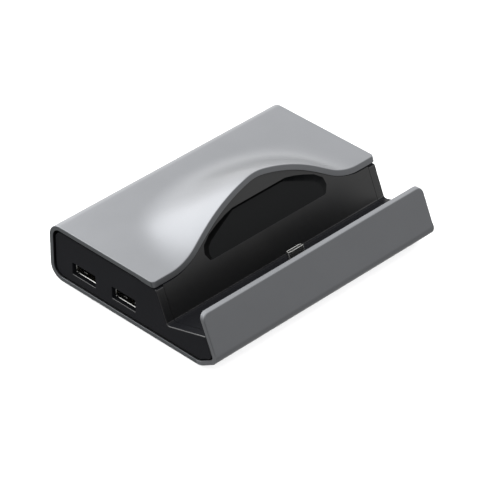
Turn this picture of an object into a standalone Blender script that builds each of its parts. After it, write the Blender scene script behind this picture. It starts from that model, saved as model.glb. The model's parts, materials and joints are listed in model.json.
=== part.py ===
"""Desktop USB-C dock with a leaning cradle for a phone or a tablet.

A satin shell wraps over the top, down the back, under the base and up again as the front lip.
Black mouldings fill it: the cradle with its back rest and slot floor, and an end panel at each side.
A USB-C plug stands in the slot and rocks a few degrees on a sprung pin under the floor.
The boards, ports, weights, screws and rubber feet are separate pieces.

Lengths are in millimetres and MM turns them into metres. X runs along the dock, Y to the back, Z up.
Heights are measured from the shell's underside: the "dock" empty lifts everything by the feet's height.
"""
import math

import bmesh
import bpy
from mathutils import Matrix, Vector

MM = 0.001

# The wrap-round shell.
HALF_LENGTH = 60.0
TOP = 25.0
SKIN = 1.9
BACK_Y = 44.9
BACK_TOP_RADIUS = 6.0
BACK_BOTTOM_RADIUS = 6.3
FRONT_CORNER_RADIUS = 1.5

# The front edge of the top lies in a plane that leans back. It rises as a bell-shaped hill.
RIM_Y = -11.7
RIM_LEAN = math.radians(20.0)
CREST_RISE = 18.8
CREST_RADIUS = 21.5
CREST_END = math.radians(11.0)
SHOULDER_RADIUS = 78.0
FLANK_ANGLE = math.radians(32.4)
FOOT_RADIUS = 26.0
HILL_REACH = 44.0

# The base turns up at the front through a flat facet into the lip.
FACET_Y = -36.5
FACET_ANGLE = math.radians(29.0)
FACET_BEND_RADIUS = 4.0
LIP_HALF_LENGTH = 59.5
LIP_LEAN = math.radians(24.0)
LIP_FOOT = (-42.2, 12.6)
LIP_TOP = 23.2
LIP_BASE_RADIUS = 2.8
LIP_BEND_STEPS = 7
LIP_CORNER_RADIUS = 3.0

# The cradle's back-rest wall and the slot's floor meet at the slot's root.
WALL_LEAN = math.radians(23.5)
WALL_HEAD = (-12.4, 23.1)
WALL_THICK = 2.4
ROOT_Z = 8.6
ROOT_RADIUS = 1.0
FLOOR_RISE = math.radians(15.5)
FLOOR_THICK = 2.0
CRADLE_HALF_LENGTH = 55.3
POCKET_DEPTH = 1.7
POCKET_OUTLINE = [(-32.0, 12.9), (32.0, 12.9), (32.0, 18.3), (13.5, 28.0), (-13.5, 28.0), (-32.0, 18.3)]
POCKET_CORNER_RADIUS = 1.5

# End panels, recessed inside the shell's rim behind a dark gap.
PANEL_FACE = 59.0
PANEL_THICK = 3.4
PANEL_WEB = 1.8
RIM_GAP = 0.9
PANEL_CORNER_RADIUS = 0.8

CLEARANCE = 0.3
SLACK = 0.35

# The plug and the pin that it rocks on.
PLUG_LEAN = math.radians(22.0)
PLUG_BASE = (-29.3, 11.8)
PIVOT_DEPTH = 6.0
PLUG_TIP = 12.9
PLUG_SIZE = (8.34, 2.56)
PLUG_WALL = 0.3
PIN_RADIUS = 0.75
PIN_HOLE_RADIUS = 0.9
PLUG_SLOT = (12.4, 6.6)
CARRIER_SIZE = (11.0, 5.0)
CARRIER_NECK = (10.6, 4.8)
SPRING_RADIUS = 1.45
SPRING_WIRE_RADIUS = 0.2

# Ports: centre along Y, all at one height on the board, and the width and height of each outline.
PORT_Z = 8.7
BOARD_TOP = 5.55
BOARD_THICK = 1.2
BOARD_WIDTH = 48.0
BOARD_Y = 14.0
BOARD_HALF_LENGTH = 55.2
USB_A_REAR_Y = 26.6
USB_A_FRONT_Y = 4.75
HDMI_Y = 24.0
INLET_Y = 3.0
USB_A_MOUTH = (12.6, 5.5)
USB_A_SEAT = (13.8, 6.4)
USB_A_OUTER = (13.1, 5.7)
USB_A_INNER = (12.5, 5.1)
HDMI_MOUTH = (14.5, 5.1)
HDMI_SEAT = (15.4, 6.0)
HDMI_OUTER = (14.6, 5.2)
HDMI_INNER = (14.0, 4.6)
INLET_MOUTH = (8.9, 3.1)
INLET_SEAT = (9.7, 3.9)
INLET_OUTER = (8.94, 3.16)
INLET_INNER = (8.34, 2.56)

# Feet, screws and weights.
FOOT_HEIGHT = 1.2
FOOT_RADIUS_FLAT = 4.5
SCREW_X = 38.5
SCREW_BORE_RADIUS = 1.3
SCREW_SEAT_RADIUS = 2.6
SCREW_SEAT_DEPTH = 1.1
BOARD_BORE_RADIUS = 1.1
SCREW_FRONT_Y = -28.0
SCREW_REAR_Y = 33.5
BALLAST_TOP = 5.8
BOARD_SCREWS = [(-50.0, -6.0), (50.0, -6.0), (-20.0, 35.0), (20.0, 35.0)]

# Centre lines of the plug, from its base and its lean.
PIVOT = (
    PLUG_BASE[0] - PIVOT_DEPTH * math.sin(PLUG_LEAN),
    PLUG_BASE[1] - PIVOT_DEPTH * math.cos(PLUG_LEAN),
)


# ---------------------------------------------------------------- outlines and sections

def arc(centre, radius, start, end, steps):
    """Points on a circle from start to end, both in degrees and both included."""
    points = []
    for k in range(steps + 1):
        angle = math.radians(start + (end - start) * k / steps)
        points.append((centre[0] + radius * math.cos(angle), centre[1] + radius * math.sin(angle)))
    return points


def fillet(before, corner, after, radius, steps=4):
    """Arc that rounds a corner, tangent to the sides towards before and after."""
    corner = Vector(corner)
    to_before = (Vector(before) - corner).normalized()
    to_after = (Vector(after) - corner).normalized()
    half = to_before.angle(to_after) / 2
    centre = corner + (to_before + to_after).normalized() * (radius / math.sin(half))
    start = corner + to_before * (radius / math.tan(half)) - centre
    turn = start.angle_signed(corner + to_after * (radius / math.tan(half)) - centre)
    points = []
    for k in range(steps + 1):
        angle = -turn * k / steps
        cos, sin = math.cos(angle), math.sin(angle)
        across = start.x * cos - start.y * sin
        up = start.x * sin + start.y * cos
        points.append((centre.x + across, centre.y + up))
    return points


def rounded(corners, radius, steps=4):
    """A closed outline with all its corners rounded to one radius."""
    points = []
    count = len(corners)
    for k in range(count):
        points += fillet(corners[k - 1], corners[k], corners[(k + 1) % count], radius, steps)
    return points


def rectangle(centre, width, height, radius=0.0, steps=3):
    """A closed rectangle, rounded when it has a radius."""
    x, y = centre
    w, h = width / 2, height / 2
    corners = [(x - w, y - h), (x + w, y - h), (x + w, y + h), (x - w, y + h)]
    return rounded(corners, radius, steps) if radius else corners


def stadium(centre, width, height, steps=6):
    """A slot outline with round ends, as on a USB-C plug."""
    x, y = centre
    r = height / 2
    right = arc((x + width / 2 - r, y), r, -90, 90, steps)
    left = arc((x - width / 2 + r, y), r, 90, 270, steps)
    return right + left


def circle(centre, radius, steps=20):
    return arc(centre, radius, 0, 360 * (steps - 1) / steps, steps - 1)


def hdmi_outline(centre, width, height, chamfer=1.3):
    """A rectangle whose two lower corners are cut off."""
    x, z = centre
    w, h = width / 2, height / 2
    return [(x - w, z + h), (x - w, z - h + chamfer), (x - w + chamfer, z - h),
            (x + w - chamfer, z - h), (x + w, z - h + chamfer), (x + w, z + h)]


def wave(x, inset=0.0):
    """Rise of the hill's outline along the leaning rim plane, moved inwards by inset.

    From the middle outwards: a tight crest arc, a wide shoulder arc, a straight flank, a hollow foot arc.
    """
    x = abs(x)
    crest, shoulder, foot = CREST_RADIUS - inset, SHOULDER_RADIUS - inset, FOOT_RADIUS + inset
    sin_crest, cos_crest = math.sin(CREST_END), math.cos(CREST_END)
    sin_flank, cos_flank = math.sin(FLANK_ANGLE), math.cos(FLANK_ANGLE)
    top = CREST_RISE - inset
    crest_x = crest * sin_crest
    if x < crest_x:
        return top - crest + math.sqrt(crest ** 2 - x ** 2)
    crest_low = top - crest * (1 - cos_crest)
    shoulder_x = crest_x + shoulder * (sin_flank - sin_crest)
    if x < shoulder_x:
        across = x - crest_x + shoulder * sin_crest
        return crest_low - shoulder * cos_crest + math.sqrt(shoulder ** 2 - across ** 2)
    shoulder_low = crest_low - shoulder * (cos_crest - cos_flank)
    foot_top = foot * (1 - cos_flank) - inset
    foot_x = shoulder_x + (shoulder_low - foot_top) / math.tan(FLANK_ANGLE)
    if x < foot_x:
        return shoulder_low - (x - shoulder_x) * math.tan(FLANK_ANGLE)
    end_x = foot_x + foot * sin_flank
    if x < end_x:
        return foot - inset - math.sqrt(foot ** 2 - (end_x - x) ** 2)
    return -inset


def rim_point(x, rise):
    """Y and Z of a point in the leaning rim plane, with the top's front corners rounded in plan."""
    into_corner = max(0.0, abs(x) - (HALF_LENGTH - FRONT_CORNER_RADIUS))
    setback = FRONT_CORNER_RADIUS - math.sqrt(FRONT_CORNER_RADIUS ** 2 - into_corner ** 2)
    return (RIM_Y + setback + rise * math.sin(RIM_LEAN), TOP + rise * math.cos(RIM_LEAN))


def hill(x, y):
    """Height of the outer face over the flat top: it leaves the rim square and dies away to the back."""
    front_y, front_z = rim_point(x, wave(x))
    rise = front_z - TOP
    reach = RIM_Y + HILL_REACH * math.sqrt(1 - (x / (HALF_LENGTH * 1.02)) ** 2) - front_y
    slope = -math.tan(RIM_LEAN) * rise / (CREST_RISE * math.cos(RIM_LEAN))
    t = (y - front_y) / reach
    if t <= 0:
        return rise + slope * (y - front_y)
    if t >= 1:
        return 0.0
    return rise * (2 * t ** 3 - 3 * t ** 2 + 1) + slope * reach * (t ** 3 - 2 * t ** 2 + t)


def hill_normal(x, y):
    step = 0.2
    dx = (hill(x + step, y) - hill(x - step, y)) / (2 * step) if abs(x) < HALF_LENGTH - step else 0.0
    dy = (hill(x, y + step) - hill(x, y - step)) / (2 * step)
    return Vector((-dx, -dy, 1.0)).normalized()


def ceiling(x, y):
    """Height of the shell's inner face under the hill."""
    return TOP + hill(x, y) - SKIN / hill_normal(x, y).z


def lip_y(z, inset=0.0):
    """Y of the lip's leaning face at a height: inset 0 is its outer face, SKIN its inner one."""
    return LIP_FOOT[0] + (z - LIP_FOOT[1]) * math.tan(LIP_LEAN) + inset / math.cos(LIP_LEAN)


def wall_y(z):
    """Y of the back-rest wall's front face at a height."""
    return WALL_HEAD[0] + (z - WALL_HEAD[1]) * math.tan(WALL_LEAN)


def floor_z(y):
    """Height of the slot's floor, which rises towards the lip."""
    return ROOT_Z + (wall_y(ROOT_Z) - y) * math.tan(FLOOR_RISE)


def meet(y_of_z, z_of_y):
    """Where a steep line, given as Y of Z, crosses a shallow one, given as Z of Y."""
    z = z_of_y(0.0)
    for _ in range(20):
        z = z_of_y(y_of_z(z))
    return (y_of_z(z), z)


def band(centre, radius, start, end, steps):
    """Pairs of outer and inner points round one bend of the shell."""
    outer = arc(centre, radius, start, end, steps)
    inner = arc(centre, radius - SKIN, start, end, steps)
    return list(zip(outer, inner))


def facet_z(y, inset=0.0):
    """Height of the flat facet between the base and the lip."""
    return (FACET_Y - y) * math.tan(FACET_ANGLE) + inset / math.cos(FACET_ANGLE)


def lip_corner():
    """Where the facet's and the lip's outer faces would meet if their corner were sharp."""
    return meet(lip_y, facet_z)


def lower_bends():
    """Pairs of outer and inner points from the back's top corner down and round to the lip's root."""
    half_bend = FACET_BEND_RADIUS * math.tan(FACET_ANGLE / 2)
    turn = 90 + math.degrees(LIP_LEAN) - math.degrees(FACET_ANGLE)
    corner = Vector(lip_corner())
    along_facet = Vector((math.cos(FACET_ANGLE), -math.sin(FACET_ANGLE)))
    along_lip = Vector((math.sin(LIP_LEAN), math.cos(LIP_LEAN)))
    half = along_facet.angle(along_lip) / 2
    centre = corner + (along_facet + along_lip).normalized() * (LIP_BASE_RADIUS / math.sin(half))
    facet_end = 270 - math.degrees(FACET_ANGLE)
    pairs = band((BACK_Y - BACK_TOP_RADIUS, TOP - BACK_TOP_RADIUS), BACK_TOP_RADIUS, 90, 0, 5)
    pairs += band((BACK_Y - BACK_BOTTOM_RADIUS, BACK_BOTTOM_RADIUS), BACK_BOTTOM_RADIUS, 0, -90, 5)
    pairs += band((FACET_Y + half_bend, FACET_BEND_RADIUS), FACET_BEND_RADIUS, 270, facet_end, 2)
    pairs += band(centre, LIP_BASE_RADIUS, facet_end, facet_end - turn, LIP_BEND_STEPS)
    return pairs


# ---------------------------------------------------------------- scene helpers

def clear_scene():
    for obj in list(bpy.data.objects):
        bpy.data.objects.remove(obj, do_unlink=True)


def new_collection(name):
    collection = bpy.data.collections.new(name)
    bpy.context.scene.collection.children.link(collection)
    return collection


def new_empty(name, location=(0, 0, 0), parent=None):
    empty = bpy.data.objects.new(name, None)
    empty.location = Vector(location) * MM
    empty.parent = parent
    PARTS.objects.link(empty)
    return empty


def material(name, colour, roughness, metallic=0.0):
    mat = bpy.data.materials.new(name)
    mat.use_nodes = True
    shader = mat.node_tree.nodes["Principled BSDF"]
    shader.inputs["Base Color"].default_value = (*colour, 1.0)
    shader.inputs["Roughness"].default_value = roughness
    shader.inputs["Metallic"].default_value = metallic
    return mat


def add(name, mesh, finish, parent=None):
    """Put a mesh in the scene as one piece with its own material."""
    obj = bpy.data.objects.new(name, mesh)
    obj.parent = parent or DOCK
    PARTS.objects.link(obj)
    mesh.materials.clear()
    mesh.materials.append(material(name, *finish))
    return obj


def tidy(bm):
    """Weld a mesh and turn its faces outwards."""
    bmesh.ops.remove_doubles(bm, verts=bm.verts, dist=1e-6)
    bmesh.ops.recalc_face_normals(bm, faces=bm.faces)


def to_mesh(bm, name):
    tidy(bm)
    mesh = bpy.data.meshes.new(name)
    bm.to_mesh(mesh)
    bm.free()
    return mesh


ALONG_X = Matrix(((0, 0, 1, 0), (1, 0, 0, 0), (0, 1, 0, 0), (0, 0, 0, 1)))
ALONG_Z = Matrix.Identity(4)


def prism(outlines, low, high, turn=ALONG_Z):
    """A straight prism over one or more outlines. The first holds the others, which become holes."""
    curve = bpy.data.curves.new("outline", "CURVE")
    curve.dimensions = "2D"
    curve.fill_mode = "BOTH"
    curve.extrude = (high - low) / 2 * MM
    for outline in outlines:
        spline = curve.splines.new("POLY")
        spline.points.add(len(outline) - 1)
        for point, (x, y) in zip(spline.points, outline):
            point.co = (x * MM, y * MM, 0.0, 1.0)
        spline.use_cyclic_u = True
    guide = bpy.data.objects.new("outline", curve)
    PARTS.objects.link(guide)
    mesh = bpy.data.meshes.new_from_object(guide.evaluated_get(bpy.context.evaluated_depsgraph_get()))
    bpy.data.objects.remove(guide, do_unlink=True)
    bpy.data.curves.remove(curve)
    mesh.transform(turn @ Matrix.Translation((0, 0, (low + high) / 2 * MM)))
    bm = bmesh.new()
    bm.from_mesh(mesh)
    bpy.data.meshes.remove(mesh)
    return to_mesh(bm, "prism")


def box(low, high):
    """A plain block between two corners."""
    bm = bmesh.new()
    bmesh.ops.create_cube(bm, size=1.0)
    low, high = Vector(low) * MM, Vector(high) * MM
    for vert in bm.verts:
        vert.co = Vector(low[k] + (high[k] - low[k]) * (vert.co[k] + 0.5) for k in range(3))
    return to_mesh(bm, "box")


def cylinder(centre, radius, low, high, turn=ALONG_Z, steps=20):
    """A round bar about an axis, its centre given across the axis."""
    bm = bmesh.new()
    bmesh.ops.create_cone(bm, cap_ends=True, segments=steps, radius1=radius * MM, radius2=radius * MM,
                          depth=(high - low) * MM)
    place = Matrix.Translation((centre[0] * MM, centre[1] * MM, (low + high) / 2 * MM))
    bmesh.ops.transform(bm, matrix=turn @ place, verts=bm.verts)
    return to_mesh(bm, "cylinder")


def loft(sections):
    """A closed solid skinned over closed sections that all have the same number of points."""
    bm = bmesh.new()
    rings = [[bm.verts.new(Vector(point) * MM) for point in section] for section in sections]
    count = len(rings[0])
    for ring, following in zip(rings, rings[1:]):
        for k in range(count):
            n = (k + 1) % count
            bm.faces.new((ring[k], ring[n], following[n], following[k]))
    bm.faces.new(rings[0])
    bm.faces.new(rings[-1])
    return to_mesh(bm, "loft")


def turned(centre, profile, steps=16):
    """A round solid about a vertical axis, from the radius and height of each step, bottom to top."""
    sections = []
    for radius, z in profile:
        sections.append([(centre[0] + x, centre[1] + y, z) for x, y in circle((0, 0), radius, steps)])
    return loft(sections)


def cutter(name, mesh, target, parent=None, operation="DIFFERENCE"):
    """A hidden tool whose shape is cut from a piece, or joined to it."""
    tool = bpy.data.objects.new(name, mesh)
    tool.parent = parent or DOCK
    tool.hide_render = True
    tool.display_type = "WIRE"
    CUTTERS.objects.link(tool)
    boolean = target.modifiers.new(name, "BOOLEAN")
    boolean.operation = operation
    boolean.solver = "EXACT"
    boolean.object = tool


# ---------------------------------------------------------------- finishes: colour, roughness, metallic

SATIN_GREY = ((0.42, 0.42, 0.44), 0.32, 0.9)
BLACK_PLASTIC = ((0.018, 0.020, 0.022), 0.45)
DARK_PLASTIC = ((0.03, 0.03, 0.032), 0.6)
CONNECTOR_PLASTIC = ((0.012, 0.012, 0.013), 0.5)
STEEL = ((0.62, 0.62, 0.60), 0.25, 1.0)
DARK_STEEL = ((0.22, 0.22, 0.23), 0.4, 1.0)
BRASS = ((0.70, 0.52, 0.22), 0.35, 1.0)
ALUMINIUM = ((0.75, 0.76, 0.77), 0.35, 1.0)
BOARD_GREEN = ((0.015, 0.09, 0.04), 0.45)
CHIP_BLACK = ((0.02, 0.02, 0.02), 0.55)
RUBBER = ((0.022, 0.022, 0.024), 0.85)
PAD_BLUE = ((0.28, 0.40, 0.52), 0.8)
POLYIMIDE = ((0.45, 0.22, 0.05), 0.4)


# ---------------------------------------------------------------- the shell and the black mouldings

def shell_section(x):
    """The shell's closed section at a station: outer line, then inner line back."""
    steps = 12
    flat_end = BACK_Y - BACK_TOP_RADIUS
    rise = wave(x)
    front_y, front_z = rim_point(x, rise)
    slant = (wave(x + 0.1) - wave(x - 0.1)) / 0.2
    level = 1 / math.hypot(slant, 1)
    under_y, under_z = rim_point(x, rise - SKIN * level)
    outer = [(x, front_y, front_z)]
    inner = [(x + SKIN * slant * level, under_y, under_z)]
    for k in range(1, steps):
        y = front_y + (flat_end - front_y) * k / steps
        point = Vector((x, y, TOP + hill(x, y)))
        outer.append(tuple(point))
        inner.append(tuple(point - hill_normal(x, y) * SKIN))
    lip_bend = len(lower_bends()) - LIP_BEND_STEPS - 1
    for (outer_y, outer_z), (inner_y, inner_z) in lower_bends()[:lip_bend]:
        outer.append((x, outer_y, outer_z))
        inner.append((x, inner_y, inner_z))
    lip_x = x * LIP_HALF_LENGTH / HALF_LENGTH
    for (outer_y, outer_z), (inner_y, inner_z) in lower_bends()[lip_bend:]:
        outer.append((lip_x, outer_y, outer_z))
        inner.append((lip_x, inner_y, inner_z))
    into_corner = max(0.0, abs(lip_x) - (LIP_HALF_LENGTH - LIP_CORNER_RADIUS))
    drop = LIP_CORNER_RADIUS - math.sqrt(max(0.0, LIP_CORNER_RADIUS ** 2 - into_corner ** 2))
    lip_top = LIP_TOP - drop * math.cos(LIP_LEAN)
    outer.append((lip_x, lip_y(lip_top), lip_top))
    inner.append((lip_x, lip_y(lip_top, SKIN), lip_top))
    return outer + inner[::-1]


def stations(ends):
    """Section positions: a regular pitch over the hill, then the given ones near each end."""
    half = [4.0 * k for k in range(1, 13)] + ends
    return [-x for x in reversed(half)] + [0.0] + half


def make_shell():
    sections = [shell_section(x) for x in stations([53.0, 57.0, 58.4, 59.2, 59.7, 60.0])]
    shell = add("wrap_cover", loft(sections), SATIN_GREY)
    for side in (-1, 1):
        for y in (SCREW_FRONT_Y, SCREW_REAR_Y):
            hole = cylinder((side * SCREW_X, y), SCREW_BORE_RADIUS, -1.0, SKIN + 1.0)
            cutter(f"screw_hole_{side}_{y:.0f}", hole, shell)
            sink = cylinder((side * SCREW_X, y), SCREW_SEAT_RADIUS, -0.3, SCREW_SEAT_DEPTH)
            cutter(f"screw_seat_{side}_{y:.0f}", sink, shell)
    return shell


def wall_back_y(z):
    return wall_y(z) + WALL_THICK / math.cos(WALL_LEAN)


def wall_crown(x, face_y):
    """Height at which a face of the wall stops, just under the shell."""
    z = TOP
    for _ in range(12):
        z = ceiling(x, face_y(z)) - SLACK
    return z


def cradle_section(x):
    """The wall and the floor of the cradle as one bent sheet."""
    root = (wall_y(ROOT_Z), ROOT_Z)
    front = meet(lambda z: lip_y(z, SKIN + SLACK), floor_z)
    under = meet(lambda z: lip_y(z, SKIN + SLACK), lambda y: floor_z(y) - FLOOR_THICK)
    heel = meet(wall_back_y, lambda y: floor_z(y) - FLOOR_THICK)
    front_z, back_z = wall_crown(x, wall_y), wall_crown(x, wall_back_y)
    head = (wall_y(front_z), front_z)
    points = [head] + fillet(head, root, front, ROOT_RADIUS)
    points += [front, under, heel, (wall_back_y(back_z), back_z)]
    return [(x, y, z) for y, z in points]


def wall_frame():
    """Matrix whose XY plane is the wall's front face, from the slot's root. Its Z points out of the wall."""
    sin, cos = math.sin(WALL_LEAN), math.cos(WALL_LEAN)
    y, z = wall_y(ROOT_Z) * MM, ROOT_Z * MM
    return Matrix(((1, 0, 0, 0), (0, sin, -cos, y), (0, cos, sin, z), (0, 0, 0, 1)))


def make_cradle():
    sections = [cradle_section(x) for x in stations([CRADLE_HALF_LENGTH])]
    cradle = add("cradle_body", loft(sections), BLACK_PLASTIC)
    pocket = prism([rounded(POCKET_OUTLINE, POCKET_CORNER_RADIUS, 3)], -POCKET_DEPTH, 2.0, wall_frame())
    cutter("pocket", pocket, cradle)
    slot = prism([rectangle((0, 0), *PLUG_SLOT, 1.5)], 2.0, 9.0)
    cutter("plug_slot", slot, cradle, PLUG_PIVOT)
    for side in (-1, 1):
        top = floor_z(SCREW_FRONT_Y) - FLOOR_THICK + 0.4
        boss = cylinder((side * SCREW_X, SCREW_FRONT_Y), 3.2, SKIN + CLEARANCE, top)
        cutter(f"front_boss_{side}", boss, cradle, operation="UNION")
        bore = cylinder((side * SCREW_X, SCREW_FRONT_Y), SCREW_BORE_RADIUS, 1.0, 9.0)
        cutter(f"front_bore_{side}", bore, cradle)
    return cradle


def panel_outline():
    """The end panel's outline: wall, floor, lip, facet, base and back, inside the shell's rim."""
    top = TOP - SKIN - RIM_GAP
    bottom = SKIN + CLEARANCE
    back = BACK_Y - SKIN - RIM_GAP
    root = (wall_y(ROOT_Z), ROOT_Z)
    head = (wall_y(top), top)
    behind_lip = SKIN + CLEARANCE + 0.3
    nose = meet(lambda z: lip_y(z, behind_lip), floor_z)
    chin = meet(lambda z: lip_y(z, behind_lip), lambda y: facet_z(y, SKIN + CLEARANCE))
    toe = (FACET_Y + (SKIN + CLEARANCE) * math.tan(FACET_ANGLE / 2), bottom)
    inner_radius = BACK_TOP_RADIUS - SKIN - RIM_GAP
    outline = fillet((back, top), head, root, PANEL_CORNER_RADIUS, 2)
    outline += fillet(head, root, nose, ROOT_RADIUS)
    outline += [nose]
    outline += fillet(nose, chin, toe, PANEL_CORNER_RADIUS, 2)
    outline += [toe]
    outline += fillet(toe, (back, bottom), (back, top), inner_radius + 0.6, 5)
    outline += fillet((back, bottom), (back, top), head, inner_radius, 5)
    return outline


def make_panel(name, side, openings):
    """An end panel whose openings have a deeper seat behind them for each receptacle."""
    low, high = sorted((side * PANEL_FACE, side * (PANEL_FACE - PANEL_THICK)))
    panel = add(name, prism([panel_outline()], low, high, ALONG_X), BLACK_PLASTIC)
    for label, mouth, seat in openings:
        low, high = sorted((side * (PANEL_FACE + 1), side * (PANEL_FACE - PANEL_THICK - 1)))
        cutter(f"{label}_mouth", prism([mouth], low, high, ALONG_X), panel)
        low, high = sorted((side * (PANEL_FACE - PANEL_WEB), side * (PANEL_FACE - PANEL_THICK - 1)))
        cutter(f"{label}_seat", prism([seat], low, high, ALONG_X), panel)
    return panel


def make_panels():
    usb = []
    for label, y in (("usb_a_rear", USB_A_REAR_Y), ("usb_a_front", USB_A_FRONT_Y)):
        centre = (y, PORT_Z)
        usb.append((label, rectangle(centre, *USB_A_MOUTH, 0.5), rectangle(centre, *USB_A_SEAT, 0.5)))
    make_panel("left_panel", -1, usb)
    centre = (HDMI_Y, PORT_Z)
    video = ("hdmi", hdmi_outline(centre, *HDMI_MOUTH), hdmi_outline(centre, *HDMI_SEAT))
    centre = (INLET_Y, PORT_Z)
    inlet = ("inlet", stadium(centre, *INLET_MOUTH), stadium(centre, *INLET_SEAT))
    make_panel("right_panel", 1, [video, inlet])


# ---------------------------------------------------------------- receptacles on the main board

def receptacle(name, side, outer, inner, depth):
    """A steel receptacle shell, open at its mouth and closed by a rear wall."""
    mouth = PANEL_FACE - PANEL_WEB - CLEARANCE
    low, high = sorted((side * mouth, side * (mouth - depth)))
    shell = add(name, prism([outer], low, high, ALONG_X), STEEL)
    low, high = sorted((side * (mouth + 1), side * (mouth - depth + 0.5)))
    cutter(f"{name}_cavity", prism([inner], low, high, ALONG_X), shell)
    return shell


def make_usb_a():
    """Two USB-A receptacles, each with its tongue hanging near the top."""
    mouth = PANEL_FACE - PANEL_WEB - CLEARANCE
    for label, y in (("rear", USB_A_REAR_Y), ("front", USB_A_FRONT_Y)):
        outer = rectangle((y, PORT_Z), *USB_A_OUTER, 0.6)
        inner = rectangle((y, PORT_Z), *USB_A_INNER, 0.3, 2)
        receptacle(f"usb_a_shell_{label}", -1, outer, inner, 14.0)
        tongue_z = PORT_Z + 1.1
        tongue = box((-mouth + 1.9, y - 5.5, tongue_z - 0.8), (-mouth + 13.1, y + 5.5, tongue_z + 0.8))
        add(f"usb_a_tongue_{label}", tongue, CONNECTOR_PLASTIC)


def make_right_ports():
    """An HDMI outlet and a USB-C power inlet."""
    mouth = PANEL_FACE - PANEL_WEB - CLEARANCE
    centre = (HDMI_Y, PORT_Z)
    outer, inner = hdmi_outline(centre, *HDMI_OUTER), hdmi_outline(centre, *HDMI_INNER)
    receptacle("hdmi_shell", 1, outer, inner, 11.0)
    tongue = box((mouth - 10.2, HDMI_Y - 5.7, PORT_Z - 0.7), (mouth - 2.6, HDMI_Y + 5.7, PORT_Z + 0.7))
    add("hdmi_tongue", tongue, CONNECTOR_PLASTIC)
    centre = (INLET_Y, PORT_Z)
    receptacle("inlet_shell", 1, stadium(centre, *INLET_OUTER), stadium(centre, *INLET_INNER), 7.4)
    tongue = box((mouth - 6.6, INLET_Y - 3.3, PORT_Z - 0.35), (mouth - 0.8, INLET_Y + 3.3, PORT_Z + 0.35))
    add("inlet_tongue", tongue, CONNECTOR_PLASTIC)


# ---------------------------------------------------------------- boards and what is on them

def make_tray():
    """The tray that carries the main board, with a boss under each of its screws."""
    floor = SKIN + CLEARANCE
    plate = box((-BOARD_HALF_LENGTH, -12.0, floor), (BOARD_HALF_LENGTH, 38.3, floor + 1.2))
    tray = add("inner_tray", plate, DARK_PLASTIC)
    under_board = BOARD_TOP - BOARD_THICK - CLEARANCE
    rear = [(-SCREW_X, SCREW_REAR_Y), (SCREW_X, SCREW_REAR_Y)]
    for k, place in enumerate(BOARD_SCREWS + rear):
        cutter(f"tray_boss_{k}", cylinder(place, 2.4, floor + 0.6, under_board), tray, operation="UNION")
        radius = SCREW_BORE_RADIUS if place in rear else BOARD_BORE_RADIUS
        cutter(f"tray_bore_{k}", cylinder(place, radius, 0.0, 6.0), tray)


def make_main_board():
    holes = [circle(place, BOARD_BORE_RADIUS, 16) for place in BOARD_SCREWS]
    holes += [circle((side * SCREW_X, SCREW_REAR_Y), SCREW_BORE_RADIUS, 16) for side in (-1, 1)]
    outline = rectangle((0.0, BOARD_Y), 2 * BOARD_HALF_LENGTH, BOARD_WIDTH, 2.0)
    add("main_board", prism([outline] + holes, BOARD_TOP - BOARD_THICK, BOARD_TOP), BOARD_GREEN)


def chip(centre, width, length, height):
    """A block that stands on the main board."""
    low = (centre[0] - width / 2, centre[1] - length / 2, BOARD_TOP + CLEARANCE)
    return box(low, (centre[0] + width / 2, centre[1] + length / 2, BOARD_TOP + CLEARANCE + height))


def make_components():
    above = BOARD_TOP + CLEARANCE
    add("hub_chip", chip((-8.0, 12.0), 9.0, 9.0, 1.0), CHIP_BLACK)
    add("video_chip", chip((12.0, 18.0), 7.0, 7.0, 1.0), CHIP_BLACK)
    add("power_chip_inlet", chip((36.0, 8.0), 5.0, 5.0, 0.9), CHIP_BLACK)
    add("power_chip_plug", chip((30.0, -2.0), 5.0, 4.0, 0.9), CHIP_BLACK)
    add("crystal", chip((-8.0, 1.0), 3.2, 2.5, 0.8), STEEL)
    for k, place in enumerate(((38.0, 15.5), (-34.0, -3.0))):
        add(f"inductor_{k + 1}", chip(place, 5.0, 5.0, 3.0), DARK_STEEL)
    for k, place in enumerate(((-36.0, 27.0), (-36.0, 15.0), (31.0, 30.0), (25.0, 30.0))):
        add(f"capacitor_{k + 1}", turned(place, [(2.3, above), (2.3, above + 5.5)]), ALUMINIUM)
    pad_top = above + 1.0 + CLEARANCE + 1.5
    add("thermal_pad", box((-12.0, 8.0, above + 1.0 + CLEARANCE), (-4.0, 16.0, pad_top)), PAD_BLUE)
    spreader = box((-24.0, 3.0, pad_top + CLEARANCE), (20.0, 27.0, pad_top + CLEARANCE + 0.8))
    add("heat_spreader", spreader, ALUMINIUM)
    add("flex_connector", chip((0.0, -7.6), 8.0, 3.0, 1.4), CONNECTOR_PLASTIC)


def make_screws():
    """Screws under the feet, screws on the board and the nuts that the rear case screws meet."""
    above = BOARD_TOP + CLEARANCE
    for side, across in ((-1, "left"), (1, "right")):
        for y, along in ((SCREW_FRONT_Y, "front"), (SCREW_REAR_Y, "rear")):
            screw = turned((side * SCREW_X, y), [(2.3, 0.1), (2.3, 0.8), (0.95, 0.8), (0.95, 7.0)])
            add(f"case_screw_{along}_{across}", screw, STEEL)
        nut = [circle((side * SCREW_X, SCREW_REAR_Y), radius, 16) for radius in (2.3, SCREW_BORE_RADIUS)]
        add(f"board_nut_{across}", prism(nut, above, 8.0), BRASS)
    for k, place in enumerate(BOARD_SCREWS):
        screw = turned(place, [(0.8, 2.6), (0.8, above), (1.7, above), (1.7, above + 0.9)])
        add(f"board_screw_{k + 1}", screw, DARK_STEEL)


def make_ballast():
    """Steel weights under the slot's floor, so that a device can't tip the dock."""
    for name, side in (("ballast_left", -1), ("ballast_right", 1)):
        low, high = sorted((side * 15.0, side * 34.0))
        add(name, box((low, -34.5, SKIN + CLEARANCE), (high, -15.0, BALLAST_TOP)), DARK_STEEL)


# ---------------------------------------------------------------- the rocking plug

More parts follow.
